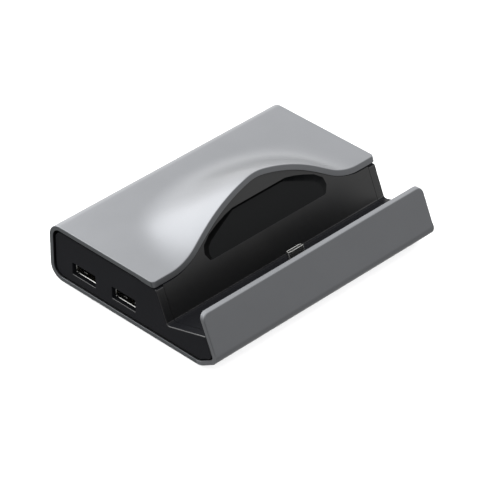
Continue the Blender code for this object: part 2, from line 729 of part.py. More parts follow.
def make_plug():
    """The plug, its carrier and its board. They turn together about the pin, at this empty's origin."""
    width, height = PLUG_SIZE
    bore = stadium((0, 0), width - 2 * PLUG_WALL, height - 2 * PLUG_WALL)
    shell = prism([stadium((0, 0), width, height), bore], 1.6, PLUG_TIP)
    add("plug_shell", shell, STEEL, PLUG_PIVOT)
    insulator = prism([stadium((0, 0), 7.1, 1.3)], 1.6, 7.2)
    add("plug_insulator", insulator, CONNECTOR_PLASTIC, PLUG_PIVOT)
    block = prism([rectangle((0, 0), *CARRIER_SIZE)], -2.0, 2.6)
    carrier = add("plug_carrier", block, BLACK_PLASTIC, PLUG_PIVOT)
    boss = prism([rectangle((0, 0), *CARRIER_NECK, 1.2)], 2.0, PIVOT_DEPTH)
    cutter("plug_boss", boss, carrier, PLUG_PIVOT, "UNION")
    seat = prism([stadium((0, 0), width + 0.6, height + 0.6)], 1.3, PIVOT_DEPTH + 1.0)
    cutter("plug_seat", seat, carrier, PLUG_PIVOT)
    bore = cylinder((0, 0), PIN_HOLE_RADIUS, -7.0, 7.0, ALONG_X)
    cutter("pin_hole", bore, carrier, PLUG_PIVOT)
    add("plug_board", box((-4.8, 2.8, -1.8), (4.8, 3.5, 2.4)), BOARD_GREEN, PLUG_PIVOT)


def make_pivot():
    """The fixed pin, the bracket that holds its ends, and the coil spring round it."""
    y, z = PIVOT
    add("pivot_pin", cylinder((y, z), PIN_RADIUS, -10.4, 10.4, ALONG_X), STEEL)
    base = SKIN + CLEARANCE
    bracket = add("pivot_bracket", box((-10.0, -35.2, base), (10.0, -27.5, base + 0.8)), DARK_STEEL)
    for side in (-1, 1):
        low, high = sorted((side * 8.3, side * 9.6))
        ear = box((low, y - 2.4, base + 0.4), (high, y + 2.4, z + 2.2))
        cutter(f"bracket_ear_{side}", ear, bracket, operation="UNION")
        hole = cylinder((y, z), PIN_HOLE_RADIUS + 0.15, low - 0.5, high + 0.5, ALONG_X)
        cutter(f"bracket_hole_{side}", hole, bracket)
    add_spring(y, z)


def add_spring(y, z):
    """A small coil of round wire that brings the plug back upright."""
    curve = bpy.data.curves.new("spring_wire", "CURVE")
    curve.dimensions = "3D"
    curve.bevel_depth = SPRING_WIRE_RADIUS * MM
    curve.bevel_resolution = 1
    curve.use_fill_caps = True
    spline = curve.splines.new("POLY")
    turns, steps = 3, 12
    spline.points.add(turns * steps)
    for k, point in enumerate(spline.points):
        angle = 2 * math.pi * k / steps
        x = 6.2 + 1.6 * k / (turns * steps)
        across, up = SPRING_RADIUS * math.cos(angle), SPRING_RADIUS * math.sin(angle)
        point.co = (x * MM, (y + across) * MM, (z + up) * MM, 1.0)
    guide = bpy.data.objects.new("spring_wire", curve)
    PARTS.objects.link(guide)
    mesh = bpy.data.meshes.new_from_object(guide.evaluated_get(bpy.context.evaluated_depsgraph_get()))
    bpy.data.objects.remove(guide, do_unlink=True)
    bm = bmesh.new()
    bm.from_mesh(mesh)
    add("return_spring", to_mesh(bm, "return_spring"), STEEL)


def make_flex_cable():
    """The ribbon from behind the plug's board up to the main board."""
    centre = [(-26.9, 4.6), (-24.0, 3.6), (-19.0, 3.6), (-14.0, 5.6), (-9.5, 6.4)]
    upper = [(y, z + 0.12) for y, z in centre]
    lower = [(y, z - 0.12) for y, z in reversed(centre)]
    add("flex_cable", prism([upper + lower], -3.0, 3.0, ALONG_X), POLYIMIDE)


def make_feet():
    """Rubber discs over the case screws, with a rounded lower edge."""
    edge = 0.3
    profile = [
        (FOOT_RADIUS_FLAT - edge, -FOOT_HEIGHT),
        (FOOT_RADIUS_FLAT, edge - FOOT_HEIGHT),
        (FOOT_RADIUS_FLAT, -CLEARANCE),
    ]
    for side, across in ((-1, "left"), (1, "right")):
        for y, along in ((SCREW_FRONT_Y, "front"), (SCREW_REAR_Y, "rear")):
            add(f"foot_{along}_{across}", turned((side * SCREW_X, y), profile, 24), RUBBER)


# ---------------------------------------------------------------- the whole dock

clear_scene()
PARTS = new_collection("usb_c_dock")
CUTTERS = new_collection("cutters")

front_most = min(outer[0] for outer, inner in lower_bends())
DOCK = new_empty("dock", (0.0, -(BACK_Y + front_most) / 2, FOOT_HEIGHT))
PLUG_PIVOT = new_empty("plug_pivot", (0.0, PIVOT[0], PIVOT[1]), DOCK)
PLUG_PIVOT.rotation_euler = (-PLUG_LEAN, 0.0, 0.0)

make_shell()
make_cradle()
make_panels()
make_usb_a()
make_right_ports()
make_tray()
make_main_board()
make_components()
make_screws()
make_ballast()
make_plug()
make_pivot()
make_flex_cable()
make_feet()
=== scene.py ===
"""The looks of the desktop USB-C dock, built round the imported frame.

The satin shell, the black mouldings, the ports, the plug and the feet are modelled again at a fine scale.
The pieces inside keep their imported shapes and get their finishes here.

Lengths are in millimetres in the shell's own frame, and world() turns them into the frame's metres.
X runs along the dock, Y to the back, Z up from the shell's underside.
"""
import json
import math

import bmesh
import bpy
from mathutils import Matrix, Vector

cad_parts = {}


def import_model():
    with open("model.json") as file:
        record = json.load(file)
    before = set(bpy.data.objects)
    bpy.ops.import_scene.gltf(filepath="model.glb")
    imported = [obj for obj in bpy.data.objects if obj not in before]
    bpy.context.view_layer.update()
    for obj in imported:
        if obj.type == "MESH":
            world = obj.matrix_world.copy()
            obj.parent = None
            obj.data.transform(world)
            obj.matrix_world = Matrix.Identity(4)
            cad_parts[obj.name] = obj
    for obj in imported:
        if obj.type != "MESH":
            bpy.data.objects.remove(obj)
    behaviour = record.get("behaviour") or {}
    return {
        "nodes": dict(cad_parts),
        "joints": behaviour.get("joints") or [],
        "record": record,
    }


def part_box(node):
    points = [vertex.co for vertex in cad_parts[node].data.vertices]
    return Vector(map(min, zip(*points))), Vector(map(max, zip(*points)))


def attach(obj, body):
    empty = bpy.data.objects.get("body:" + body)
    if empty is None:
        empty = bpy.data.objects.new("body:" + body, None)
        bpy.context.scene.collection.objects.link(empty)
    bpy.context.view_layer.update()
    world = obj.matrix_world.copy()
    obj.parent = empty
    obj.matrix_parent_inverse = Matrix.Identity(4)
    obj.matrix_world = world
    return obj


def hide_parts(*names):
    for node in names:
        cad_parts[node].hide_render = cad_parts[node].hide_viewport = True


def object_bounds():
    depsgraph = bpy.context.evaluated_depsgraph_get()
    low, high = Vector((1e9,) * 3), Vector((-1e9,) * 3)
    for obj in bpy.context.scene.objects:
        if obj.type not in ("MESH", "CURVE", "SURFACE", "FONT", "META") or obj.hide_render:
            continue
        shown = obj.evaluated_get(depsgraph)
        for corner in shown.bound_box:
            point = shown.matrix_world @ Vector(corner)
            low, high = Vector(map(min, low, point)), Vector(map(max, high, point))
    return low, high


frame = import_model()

CAD_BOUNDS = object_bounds()
MM = 0.001

# ---------------------------------------------------------------- driving sizes of the design

# The shell, a bent sheet whose rearmost face is at BACK_Y. Under the rim of its top it is thicker by HEM,
# which eases out over HEM_REACH behind the rim. Its end faces behind the lip, back from a set Y, are painted
# a darker grey: painted shade.
SHELL_LOW, SHELL_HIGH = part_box("wrap_cover")
HALF_LENGTH = (SHELL_HIGH.x - SHELL_LOW.x) / 2 / MM
BACK_Y = 44.9
ORIGIN = Vector(((SHELL_LOW.x + SHELL_HIGH.x) / 2, SHELL_HIGH.y - BACK_Y * MM, SHELL_LOW.z))
TOP = 25.0
SKIN = 1.9
HEM = 0.45
HEM_REACH = (3.0, 9.0)
TOP_EDGE = 0.28
LIP_EDGE = 0.36
INNER_EDGE = 0.12
BACK_TOP_RADIUS = 6.0
BACK_BOTTOM_RADIUS = 6.3
FRONT_CORNER_RADIUS = 1.5
END_SHADE_FRONT_Y = -30.0

# The hill: its outline in the leaning rim plane, and how far back it runs out into the flat top.
RIM_Y = -11.7
RIM_LEAN = math.radians(20.0)
CREST_RISE = 18.8
CREST_RADIUS = 21.5
CREST_END = math.radians(11.0)
SHOULDER_RADIUS = 78.0
FLANK_ANGLE = math.radians(32.4)
FOOT_RADIUS = 26.0
HILL_REACH = 44.0
HILL_HALF_LENGTH = HALF_LENGTH * 1.02

# The facet between the base and the lip, and the lip.
FACET_Y = -36.5
FACET_ANGLE = math.radians(29.0)
FACET_BEND_RADIUS = 7.0
LIP_HALF_LENGTH = 59.5
LIP_LEAN = math.radians(24.0)
LIP_FOOT = (-42.2, 12.6)
LIP_TOP = 23.2
LIP_BASE_RADIUS = 3.5
LIP_CORNER_RADIUS = 3.0

# The screw holes through the base.
SCREW_X = (-38.5, 38.5)
SCREW_Y = (-28.0, 33.5)
SCREW_HEAD_RADIUS = 2.6
SCREW_HEAD_DEPTH = 1.1
SCREW_SHANK_RADIUS = 1.3

# The cradle, whose leaning wall and slot floor meet at a rounded root. SLACK is its gap to the lip, and
# CROWN_GAP the one over its wall in the middle and at the ends, changing over CROWN_GAP_REACH.
# CLEARANCE is the end panels' gap over the shell's base and facet.
CRADLE_HALF_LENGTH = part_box("cradle_body")[1].x / MM + 0.15
WALL_LEAN = math.radians(23.5)
WALL_HEAD = (-12.4, 23.1)
WALL_THICK = 2.4
ROOT_Z = 8.6
ROOT_RADIUS = 1.3
FLOOR_RISE = math.radians(15.5)
FLOOR_THICK = 2.0
SLACK = 0.35
CROWN_GAP = (0.08, 0.35)
CROWN_GAP_REACH = (42.0, 50.0)
CLEARANCE = 0.3

# Half of the pocket's outline at the wall's face and at its floor: along the dock, and up the wall.
# POCKET_SLOPE is how its sides go in: a share of the way to the floor's outline, and of the depth there.
# Below POCKET_LOW, and right of POCKET_LIT_X, its sides have the same finish as its floor; its other sides,
# the head and the left, are painted near black as a painted shadow.
POCKET_MOUTH = [
    (31.2, 13.8), (33.0, 17.2), (32.2, 20.4), (28.4, 23.3), (23.6, 25.3), (18.6, 27.0), (14.2, 28.0),
]
POCKET_FLOOR = [
    (30.3, 14.0), (30.6, 16.4), (29.8, 18.7), (27.8, 20.3), (23.5, 22.3), (19.0, 24.3), (13.2, 26.7),
]
POCKET_CORNER_RADIUS = 1.5
POCKET_SHALLOW = 0.03
POCKET_DEEP = 1.45
POCKET_TOOL_PROUD = 0.85
POCKET_SLOPE = [(0.0, 0.0), (0.04, 0.08), (0.15, 0.24), (0.5, 0.64), (0.8, 0.91), (0.92, 0.98), (1.0, 1.0)]
POCKET_LOW = 15.0
POCKET_LIT_X = 14.0

# The end panels, inside the shell's rim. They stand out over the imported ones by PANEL_RISE, and their gaps
# are RIM_GAP at the back, TOP_GAP under the top, and LIP_GAP more than CLEARANCE behind the lip. A face is
# on an edge when the X of its normal is within EDGE_SLANT, and on the wall when the Z is within WALL_RISE.
PANEL_RISE = 0.35
PANEL_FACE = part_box("right_panel")[1].x / MM + PANEL_RISE
PANEL_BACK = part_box("right_panel")[0].x / MM
PANEL_EDGE = 0.45
PANEL_HEAD_RADIUS = 0.8
PANEL_NOSE_RADIUS = 0.4
PANEL_CHIN_RADIUS = 2.0
PANEL_TOE_RADIUS = 0.5
EDGE_SLANT = (0.2, 0.97)
WALL_RISE = (0.2, 0.7)
RIM_GAP = 0.6
TOP_GAP = 1.25
LIP_GAP = 0.3

# The ports, given by width, height and, for a rectangle, corner radius: the opening in the panel, the seat
# behind it and the receptacle's outer and inner outline. A web is what the panel has in front of a
# receptacle, with WEB_GAP between the two. All the openings are within PORT_HALF_ZONE of PORT_Z.
PORT_Z = 8.7
PORT_HALF_ZONE = 4.0
PORT_CHAMFER = 0.15
WEB_GAP = 0.05
USB_A_REAR_Y = 26.6
USB_A_FRONT_Y = 4.75
USB_WEB = 1.95
USB_OPENING = (12.7, 5.3, 0.35)
USB_OPENING_SHIFT = 0.10
USB_SEAT = (13.8, 6.4, 0.5)
USB_OUTER = (13.1, 5.7, 0.6)
USB_INNER = (12.5, 5.1, 0.3)
HDMI_Y = 24.0
HDMI_CUT = 1.3
HDMI_CORNER = 0.3
HDMI_OPENING = (14.2, 4.8)
HDMI_SEAT = (15.4, 6.0)
HDMI_OUTER = (14.6, 5.2)
HDMI_INNER = (14.0, 4.6)
INLET_Y = 3.0
INLET_OPENING = (8.5, 2.72)
INLET_SEAT = (9.7, 3.9)
INLET_OUTER = (8.94, 3.16)
INLET_INNER = (8.34, 2.56)
RIGHT_WEB = 0.3
RECEPTACLE_EDGE = 0.05
RECEPTACLE_FLARE = 0.15
RECEPTACLE_REAR_WALL = 0.5
USB_MOUTH = PANEL_FACE - USB_WEB - WEB_GAP
MOUTH = PANEL_FACE - RIGHT_WEB - WEB_GAP

# The pressed spring tabs on a USB-A receptacle's floor, and the flat contacts in the ports. A reach is how
# far behind MOUTH something starts and ends.
SPRING_OFFSET = 3.1
SPRING_Z = PORT_Z - 2.5
SPRING_SIZE = (6.0, 1.8, 0.12)
SPRING_RISE = 0.40
SPRING_START = 3.4
USB_CONTACTS = {"count": 4, "pitch": 2.3, "width": 1.0, "thick": 0.1}
USB_CONTACT_REACH = (5.0, 12.0)
USB_CONTACT_Z = PORT_Z + 0.16
HDMI_CONTACTS = {"count": 9, "pitch": 1.0, "width": 0.44, "thick": 0.06}
HDMI_CONTACT_REACH = (4.6, 10.5)
HDMI_STAGGER = 0.25
INLET_CONTACTS = {"count": 12, "pitch": 0.5, "width": 0.26, "thick": 0.04}
INLET_CONTACT_REACH = (2.8, 6.9)

# The plug: its sleeve, the slot that it stands in, and the insulator and the contacts inside it. Heights
# are along the plug from its pivot.
PLUG_SIZE = (8.34, 2.56)
PLUG_WALL = 0.3
PLUG_EDGE = 0.14
PLUG_ROOT = 1.6
PLUG_TIP = 12.9
PLUG_LEAN = math.radians(22.0)
PLUG_SLOT = (12.4, 6.6, 1.5)
PLUG_SLOT_HEIGHTS = (2.0, 9.0)
CORE_OUTER = (7.5, 1.75)
CORE_INNER = (6.7, 0.75)
CORE_HEIGHTS = (7.3, 12.3)
PLUG_CONTACT_HEIGHTS = (7.4, 11.6)
PLUG_CONTACT_PITCH = 0.5
PLUG_CONTACT_HALF = (0.12, 0.05)
PLUG_CONTACT_OFFSET = 0.30

# The feet, which have a rounded lower edge and a shallow dish with a sloping side.
FOOT_EDGE = 0.3
FOOT_DISH_INSET = 1.1
FOOT_DISH_SLOPE = 0.2
FOOT_DISH_DEPTH = 0.12
FOOT_TOP_CHAMFER = 0.08


# ---------------------------------------------------------------- outlines and heights

def arc(centre, radius, start, end, steps):
    """Points on a circle from start to end, both in degrees and both included."""
    points = []
    for k in range(steps + 1):
        angle = math.radians(start + (end - start) * k / steps)
        points.append((centre[0] + radius * math.cos(angle), centre[1] + radius * math.sin(angle)))
    return points


def fillet(before, corner, after, radius, steps):
    """Arc that rounds a corner, tangent to the sides towards before and after."""
    corner = Vector(corner)
    to_before = (Vector(before) - corner).normalized()
    to_after = (Vector(after) - corner).normalized()
    half = to_before.angle(to_after) / 2
    centre = corner + (to_before + to_after).normalized() * (radius / math.sin(half))
    start = corner + to_before * (radius / math.tan(half)) - centre
    turn = start.angle_signed(corner + to_after * (radius / math.tan(half)) - centre)
    points = []
    for k in range(steps + 1):
        angle = -turn * k / steps
        cos, sin = math.cos(angle), math.sin(angle)
        points.append((centre.x + start.x * cos - start.y * sin, centre.y + start.x * sin + start.y * cos))
    return points


def rounded(corners, radius, steps):
    """A closed outline with all its corners rounded to one radius."""
    points = []
    count = len(corners)
    for k in range(count):
        points += fillet(corners[k - 1], corners[k], corners[(k + 1) % count], radius, steps)
    return points


def rectangle(centre, width, height, radius):
    """A rectangle with rounded corners."""
    x, y = centre
    w, h = width / 2, height / 2
    return rounded([(x - w, y - h), (x + w, y - h), (x + w, y + h), (x - w, y + h)], radius, 6)


def stadium(centre, width, height):
    """A slot outline with round ends, as on a USB-C plug."""
    x, y = centre
    r = height / 2
    return arc((x + width / 2 - r, y), r, -90, 90, 16) + arc((x - width / 2 + r, y), r, 90, 270, 16)


def hdmi_outline(centre, width, height):
    """A rectangle whose two lower corners are cut off."""
    x, z = centre
    w, h = width / 2, height / 2
    corners = [(x - w, z + h), (x - w, z - h + HDMI_CUT), (x - w + HDMI_CUT, z - h),
               (x + w - HDMI_CUT, z - h), (x + w, z - h + HDMI_CUT), (x + w, z + h)]
    return rounded(corners, HDMI_CORNER, 3)


def offset(outline, distance):
    """A closed outline moved outwards, or inwards when the distance is negative."""
    count = len(outline)
    area = sum(a[0] * b[1] - b[0] * a[1] for a, b in zip(outline, outline[1:] + outline[:1]))
    side = 1.0 if area > 0 else -1.0
    moved = []
    for k in range(count):
        here = Vector(outline[k])
        along_in = (here - Vector(outline[k - 1])).normalized()
        along_out = (Vector(outline[(k + 1) % count]) - here).normalized()
        normal_in = Vector((along_in.y, -along_in.x)) * side
        normal_out = Vector((along_out.y, -along_out.x)) * side
        bisector = (normal_in + normal_out).normalized()
        moved.append(tuple(here + bisector * (distance / max(0.3, bisector.dot(normal_in)))))
    return moved


def wave(x):
    """Rise of the hill's outline along the leaning rim plane: crest arc, shoulder arc, flank, foot arc."""
    x = abs(x)
    sin_crest, cos_crest = math.sin(CREST_END), math.cos(CREST_END)
    sin_flank, cos_flank = math.sin(FLANK_ANGLE), math.cos(FLANK_ANGLE)
    crest_x = CREST_RADIUS * sin_crest
    if x < crest_x:
        return CREST_RISE - CREST_RADIUS + math.sqrt(CREST_RADIUS ** 2 - x ** 2)
    crest_low = CREST_RISE - CREST_RADIUS * (1 - cos_crest)
    shoulder_x = crest_x + SHOULDER_RADIUS * (sin_flank - sin_crest)
    if x < shoulder_x:
        across = x - crest_x + SHOULDER_RADIUS * sin_crest
        return crest_low - SHOULDER_RADIUS * cos_crest + math.sqrt(SHOULDER_RADIUS ** 2 - across ** 2)
    shoulder_low = crest_low - SHOULDER_RADIUS * (cos_crest - cos_flank)
    foot_top = FOOT_RADIUS * (1 - cos_flank)
    foot_x = shoulder_x + (shoulder_low - foot_top) / math.tan(FLANK_ANGLE)
    if x < foot_x:
        return shoulder_low - (x - shoulder_x) * math.tan(FLANK_ANGLE)
    end_x = foot_x + FOOT_RADIUS * sin_flank
    if x < end_x:
        return FOOT_RADIUS - math.sqrt(FOOT_RADIUS ** 2 - (end_x - x) ** 2)
    return 0.0


def setback(x):
    """How far the top's rounded front corners draw the rim back near each end."""
    into_corner = max(0.0, abs(x) - (HALF_LENGTH - FRONT_CORNER_RADIUS))
    return FRONT_CORNER_RADIUS - math.sqrt(max(0.0, FRONT_CORNER_RADIUS ** 2 - into_corner ** 2))


def hill(x, y):
    """Height of the shell's outer face over its flat top."""
    rise = wave(x) * math.cos(RIM_LEAN)
    front_y = RIM_Y + setback(x) + wave(x) * math.sin(RIM_LEAN)
    reach = RIM_Y + HILL_REACH * math.sqrt(1 - (x / HILL_HALF_LENGTH) ** 2) - front_y
    slope = -math.tan(RIM_LEAN) * rise / (CREST_RISE * math.cos(RIM_LEAN))
    t = (y - front_y) / reach
    if t <= 0:
        return rise + slope * (y - front_y)
    if t >= 1:
        return 0.0
    return rise * (2 * t ** 3 - 3 * t ** 2 + 1) + slope * reach * (t ** 3 - 2 * t ** 2 + t)


def hill_normal(x, y):
    """Direction out of the top face, from its slopes along X and Y."""
    step = 0.2
    x = max(step - HALF_LENGTH, min(HALF_LENGTH - step, x))
    dx = (hill(x + step, y) - hill(x - step, y)) / (2 * step)
    dy = (hill(x, y + step) - hill(x, y - step)) / (2 * step)
    return Vector((-dx, -dy, 1.0)).normalized()


def lip_y(z, depth=0.0):
    """Y of the lip's leaning face at a height, at a depth under its outer face."""
    return LIP_FOOT[0] + (z - LIP_FOOT[1]) * math.tan(LIP_LEAN) + depth / math.cos(LIP_LEAN)


def facet_z(y, depth=0.0):
    """Height of the flat facet between the base and the lip."""
    return (FACET_Y - y) * math.tan(FACET_ANGLE) + depth / math.cos(FACET_ANGLE)


def wall_y(z):
    """Y of the back-rest wall's front face at a height."""
    return WALL_HEAD[0] + (z - WALL_HEAD[1]) * math.tan(WALL_LEAN)


def wall_back_y(z):
    """Y of the wall's rear face at a height."""
    return wall_y(z) + WALL_THICK / math.cos(WALL_LEAN)


def floor_z(y):
    """Height of the slot's floor, which rises towards the lip."""
    return ROOT_Z + (wall_y(ROOT_Z) - y) * math.tan(FLOOR_RISE)


def meet(y_of_z, z_of_y):
    """Where a steep line, given as Y of Z, crosses a shallow one, given as Z of Y."""
    z = z_of_y(0.0)
    for _ in range(20):
        z = z_of_y(y_of_z(z))
    return (y_of_z(z), z)


def ease(value, low, high):
    """A smooth step from 0 at low to 1 at high."""
    t = max(0.0, min(1.0, (value - low) / (high - low)))
    return t * t * (3 - 2 * t)


def wall_crown(x, face_y):
    """Height at which a face of the wall stops, just under the shell's hem."""
    gap = CROWN_GAP[0] + (CROWN_GAP[1] - CROWN_GAP[0]) * ease(abs(x), *CROWN_GAP_REACH)
    z = TOP
    for _ in range(12):
        y = face_y(z)
        z = TOP + hill(x, y) - (SKIN + HEM) / hill_normal(x, y).z - gap
    return z


# ---------------------------------------------------------------- mesh helpers

def world(point):
    """A point of the shell's frame in the frame's metres."""
    return ORIGIN + Vector(point) * MM


def local(point):
    """A point of the frame in the shell's millimetres."""
    return (Vector(point) - ORIGIN) / MM


def across_x(outline, x):
    """A Y-Z outline as points at one X."""
    return [(x, y, z) for y, z in outline]


def new_piece(name, bm):
    """A named object from a finished bmesh, with its faces turned outwards."""
    bmesh.ops.recalc_face_normals(bm, faces=bm.faces)
    mesh = bpy.data.meshes.new(name)
    bm.to_mesh(mesh)
    bm.free()
    piece = bpy.data.objects.new(name, mesh)
    bpy.context.scene.collection.objects.link(piece)
    return piece


def loft(name, sections, place=world, strip_caps=False):
    """A closed solid skinned over closed sections that all have the same number of points.

    With strip_caps each end is closed by quads between the section's first half and its second half.
    """
    bm = bmesh.new()
    rings = [[bm.verts.new(place(point)) for point in section] for section in sections]
    count = len(rings[0])
    for ring, following in zip(rings, rings[1:]):
        for k in range(count):
            n = (k + 1) % count
            bm.faces.new((ring[k], ring[n], following[n], following[k]))
    for ring in (rings[0], rings[-1]):
        if strip_caps:
            for k in range(count // 2 - 1):
                bm.faces.new((ring[k], ring[k + 1], ring[count - 2 - k], ring[count - 1 - k]))
        else:
            bm.faces.new(ring)
    return new_piece(name, bm)


def ring_solid(name, rings):
    """A tube-like solid skinned over rings of world points, where the last ring closes onto the first."""
    bm = bmesh.new()
    verts = [[bm.verts.new(point) for point in ring] for ring in rings]
    count = len(rings[0])
    for ring, following in zip(verts, verts[1:] + verts[:1]):
        for k in range(count):
            n = (k + 1) % count
            bm.faces.new((ring[k], ring[n], following[n], following[k]))
    return new_piece(name, bm)


def turned(name, centre, profile, steps, place=world):
    """A round solid about a vertical axis, from the radius and height of each step, bottom to top."""
    sections = []
    for radius, z in profile:
        ring = arc(centre, radius, 0, 360 * (steps - 1) / steps, steps - 1)
        sections.append([(x, y, z) for x, y in ring])
    return loft(name, sections, place)


def block(low, high, place=world):
    """A small block between two corners, as a bmesh that the caller collects."""
    bm = bmesh.new()
    bmesh.ops.create_cube(bm, size=1.0)
    low, high = Vector(low), Vector(high)
    for vert in bm.verts:
        vert.co = place(Vector(low[k] + (high[k] - low[k]) * (vert.co[k] + 0.5) for k in range(3)))
    return bm


def joined(name, blocks):
    """One piece from several small blocks."""
    whole = bmesh.new()
    for bm in blocks:
        mesh = bpy.data.meshes.new("block")
        bm.to_mesh(mesh)
        bm.free()
        whole.from_mesh(mesh)
        bpy.data.meshes.remove(mesh)
    return new_piece(name, whole)


def apply_modifiers(piece):
    """Put what the modifiers make into the piece's own mesh."""
    depsgraph = bpy.context.evaluated_depsgraph_get()
    mesh = bpy.data.meshes.new_from_object(piece.evaluated_get(depsgraph))
    piece.modifiers.clear()
    piece.data = mesh


def carve(piece, tools):
    """Cut tools out of a piece."""
    for tool in tools:
        boolean = piece.modifiers.new("carve", "BOOLEAN")
        boolean.operation = "DIFFERENCE"
        boolean.solver = "EXACT"
        boolean.object = tool
    bpy.context.view_layer.update()
    apply_modifiers(piece)
    for tool in tools:
        bpy.data.objects.remove(tool, do_unlink=True)


def smooth(piece, degrees):
    """Shade smooth, with edges over an angle kept sharp."""
    piece.data.shade_smooth()
    piece.data.set_sharp_from_angle(angle=math.radians(degrees))


def flatten(piece):
    """Wide flat faces decide the shading, so that rounded edges don't shade into them."""
    weighted = piece.modifiers.new("even_faces", "WEIGHTED_NORMAL")
    weighted.keep_sharp = True
    weighted.weight = 70


def settle(piece, material, slot, body, *nodes):
    """Give a piece its material, the body it rides on and the nodes it stands for. The slot is not used."""
    piece.data.materials.clear()
    piece.data.materials.append(material)
    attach(piece, body)
    if nodes:
        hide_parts(*nodes)


def paint(piece, further, choose):
    """Give faces further materials: choose(face) is 0 for the piece's own, 1 for the first further one."""
    for material in further:
        piece.data.materials.append(material)
    for face in piece.data.polygons:
        face.material_index = int(choose(face))


# ---------------------------------------------------------------- finishes

def link(tree, source, output, target, socket):
    """Join one node's output to another's input, both given by name."""
    tree.links.new(source.outputs[output], target.inputs[socket])


def noise(tree, scale, detail, stretch):
    """Noise in the piece's own metres."""
    place = tree.nodes.new("ShaderNodeTexCoord")
    mapping = tree.nodes.new("ShaderNodeMapping")
    mapping.inputs["Scale"].default_value = stretch
    texture = tree.nodes.new("ShaderNodeTexNoise")
    texture.inputs["Scale"].default_value = scale
    texture.inputs["Detail"].default_value = detail
    link(tree, place, "Object", mapping, "Vector")
    link(tree, mapping, "Vector", texture, "Vector")
    return texture


def spread(tree, source, low, high):
    """A value between low and high that follows a noise."""
    rescale = tree.nodes.new("ShaderNodeMapRange")
    rescale.inputs["From Min"].default_value = 0.3
    rescale.inputs["From Max"].default_value = 0.7
    rescale.inputs["To Min"].default_value = low
    rescale.inputs["To Max"].default_value = high
    link(tree, source, "Fac", rescale, "Value")
    return rescale


def tinted(tree, source, dark, light):
    """A colour between two near tones that follows a noise."""
    ramp = tree.nodes.new("ShaderNodeValToRGB")
    ramp.color_ramp.elements[0].position = 0.3
    ramp.color_ramp.elements[0].color = (*dark, 1.0)
    ramp.color_ramp.elements[1].position = 0.7
    ramp.color_ramp.elements[1].color = (*light, 1.0)
    link(tree, source, "Fac", ramp, "Fac")
    return ramp


def finish(name, colour, roughness, metallic=0.0, grain=3000.0, relief=0.004, blotch=60.0,
           vary=0.06, rough_vary=0.05, stretch=(1.0, 1.0, 1.0), **sockets):
    """A procedural finish: blotchy tone, uneven gloss and a fine relief, whose height is in millimetres."""
    mat = bpy.data.materials.new(name)
    mat.use_nodes = True
    tree = mat.node_tree
    shader = tree.nodes["Principled BSDF"]
    cloud = noise(tree, blotch, 4.0, stretch)
    dark = [c * (1 - vary) for c in colour]
    light = [c * (1 + vary) for c in colour]
    link(tree, tinted(tree, cloud, dark, light), "Color", shader, "Base Color")
    fine = noise(tree, grain, 2.0, stretch)
    low, high = roughness - rough_vary, roughness + rough_vary
    link(tree, spread(tree, fine, low, high), "Result", shader, "Roughness")
    bump = tree.nodes.new("ShaderNodeBump")
    bump.inputs["Distance"].default_value = relief * MM
    bump.inputs["Strength"].default_value = 1.0
    link(tree, fine, "Fac", bump, "Height")
    link(tree, bump, "Normal", shader, "Normal")
    shader.inputs["Metallic"].default_value = metallic
    for socket, value in sockets.items():
        shader.inputs[socket.replace("_", " ")].default_value = value
    return mat


SATIN_GREY = finish("satin_grey", (0.229, 0.235, 0.246), 0.36, 1.0, grain=2600, relief=0.003, vary=0.02,
                    rough_vary=0.03)
# A darker copy of the satin grey for the shell's end faces: painted shade.
END_SHADE_GREY = finish("end_shade_grey", (0.142, 0.150, 0.156), 0.36, 1.0, grain=2600, relief=0.003, vary=0.02,
                  rough_vary=0.03)
BLACK_PLASTIC = finish("black_plastic", (0.0042, 0.0044, 0.0048), 0.38, grain=3200, relief=0.006, vary=0.10,
                       Specular_IOR_Level=0.95)
PANEL_BLACK = finish("panel_black", (0.0150, 0.0156, 0.0185), 0.42, grain=3200, relief=0.006, vary=0.10,
                     Specular_IOR_Level=0.06)
# A brighter, glossier black for the panels' upward edges: a painted highlight.
HIGHLIGHT_BLACK = finish("painted_highlight_black", (0.05, 0.05, 0.052), 0.30, grain=3200, relief=0.004, vary=0.10,
                         Specular_IOR_Level=1.0)
POCKET_SHADE = finish("pocket_shade", (0.0010, 0.0011, 0.0012), 0.60, grain=2200, relief=0.010, vary=0.10,
                      Specular_IOR_Level=0.08)
POCKET_BLACK = finish("pocket_black", (0.0035, 0.0042, 0.0048), 0.50, grain=2200, relief=0.010, vary=0.10,
                      Specular_IOR_Level=0.22)
DARK_PLASTIC = finish("dark_plastic", (0.030, 0.030, 0.032), 0.60, grain=2400, relief=0.012, vary=0.12)
CONNECTOR_PLASTIC = finish("connector_plastic", (0.012, 0.012, 0.013), 0.48, grain=4000, relief=0.006,
                           vary=0.10)
STEEL = finish("connector_steel", (0.62, 0.62, 0.60), 0.24, 1.0, grain=5000, relief=0.002, vary=0.04,
               stretch=(0.2, 1.0, 1.0))
DARK_STEEL = finish("dark_steel", (0.22, 0.22, 0.23), 0.40, 1.0, grain=3000, relief=0.006, vary=0.08)
GOLD = finish("contact_gold", (0.83, 0.62, 0.25), 0.25, 1.0, grain=6000, relief=0.001, vary=0.04)
BRASS = finish("brass", (0.70, 0.52, 0.22), 0.35, 1.0, grain=3000, relief=0.004, vary=0.06)
ALUMINIUM = finish("aluminium", (0.75, 0.76, 0.77), 0.35, 1.0, grain=4000, relief=0.003, vary=0.04,
                   stretch=(0.1, 1.0, 1.0))
BOARD_GREEN = finish("board_green", (0.015, 0.090, 0.040), 0.42, grain=1200, relief=0.010, vary=0.18,
                     blotch=300.0)
CHIP_BLACK = finish("chip_black", (0.020, 0.020, 0.020), 0.55, grain=5000, relief=0.008, vary=0.10)
RUBBER = finish("rubber", (0.022, 0.022, 0.024), 0.82, grain=2600, relief=0.020, vary=0.15)
THERMAL_PAD = finish("thermal_pad", (0.28, 0.40, 0.52), 0.80, grain=1800, relief=0.020, vary=0.10)
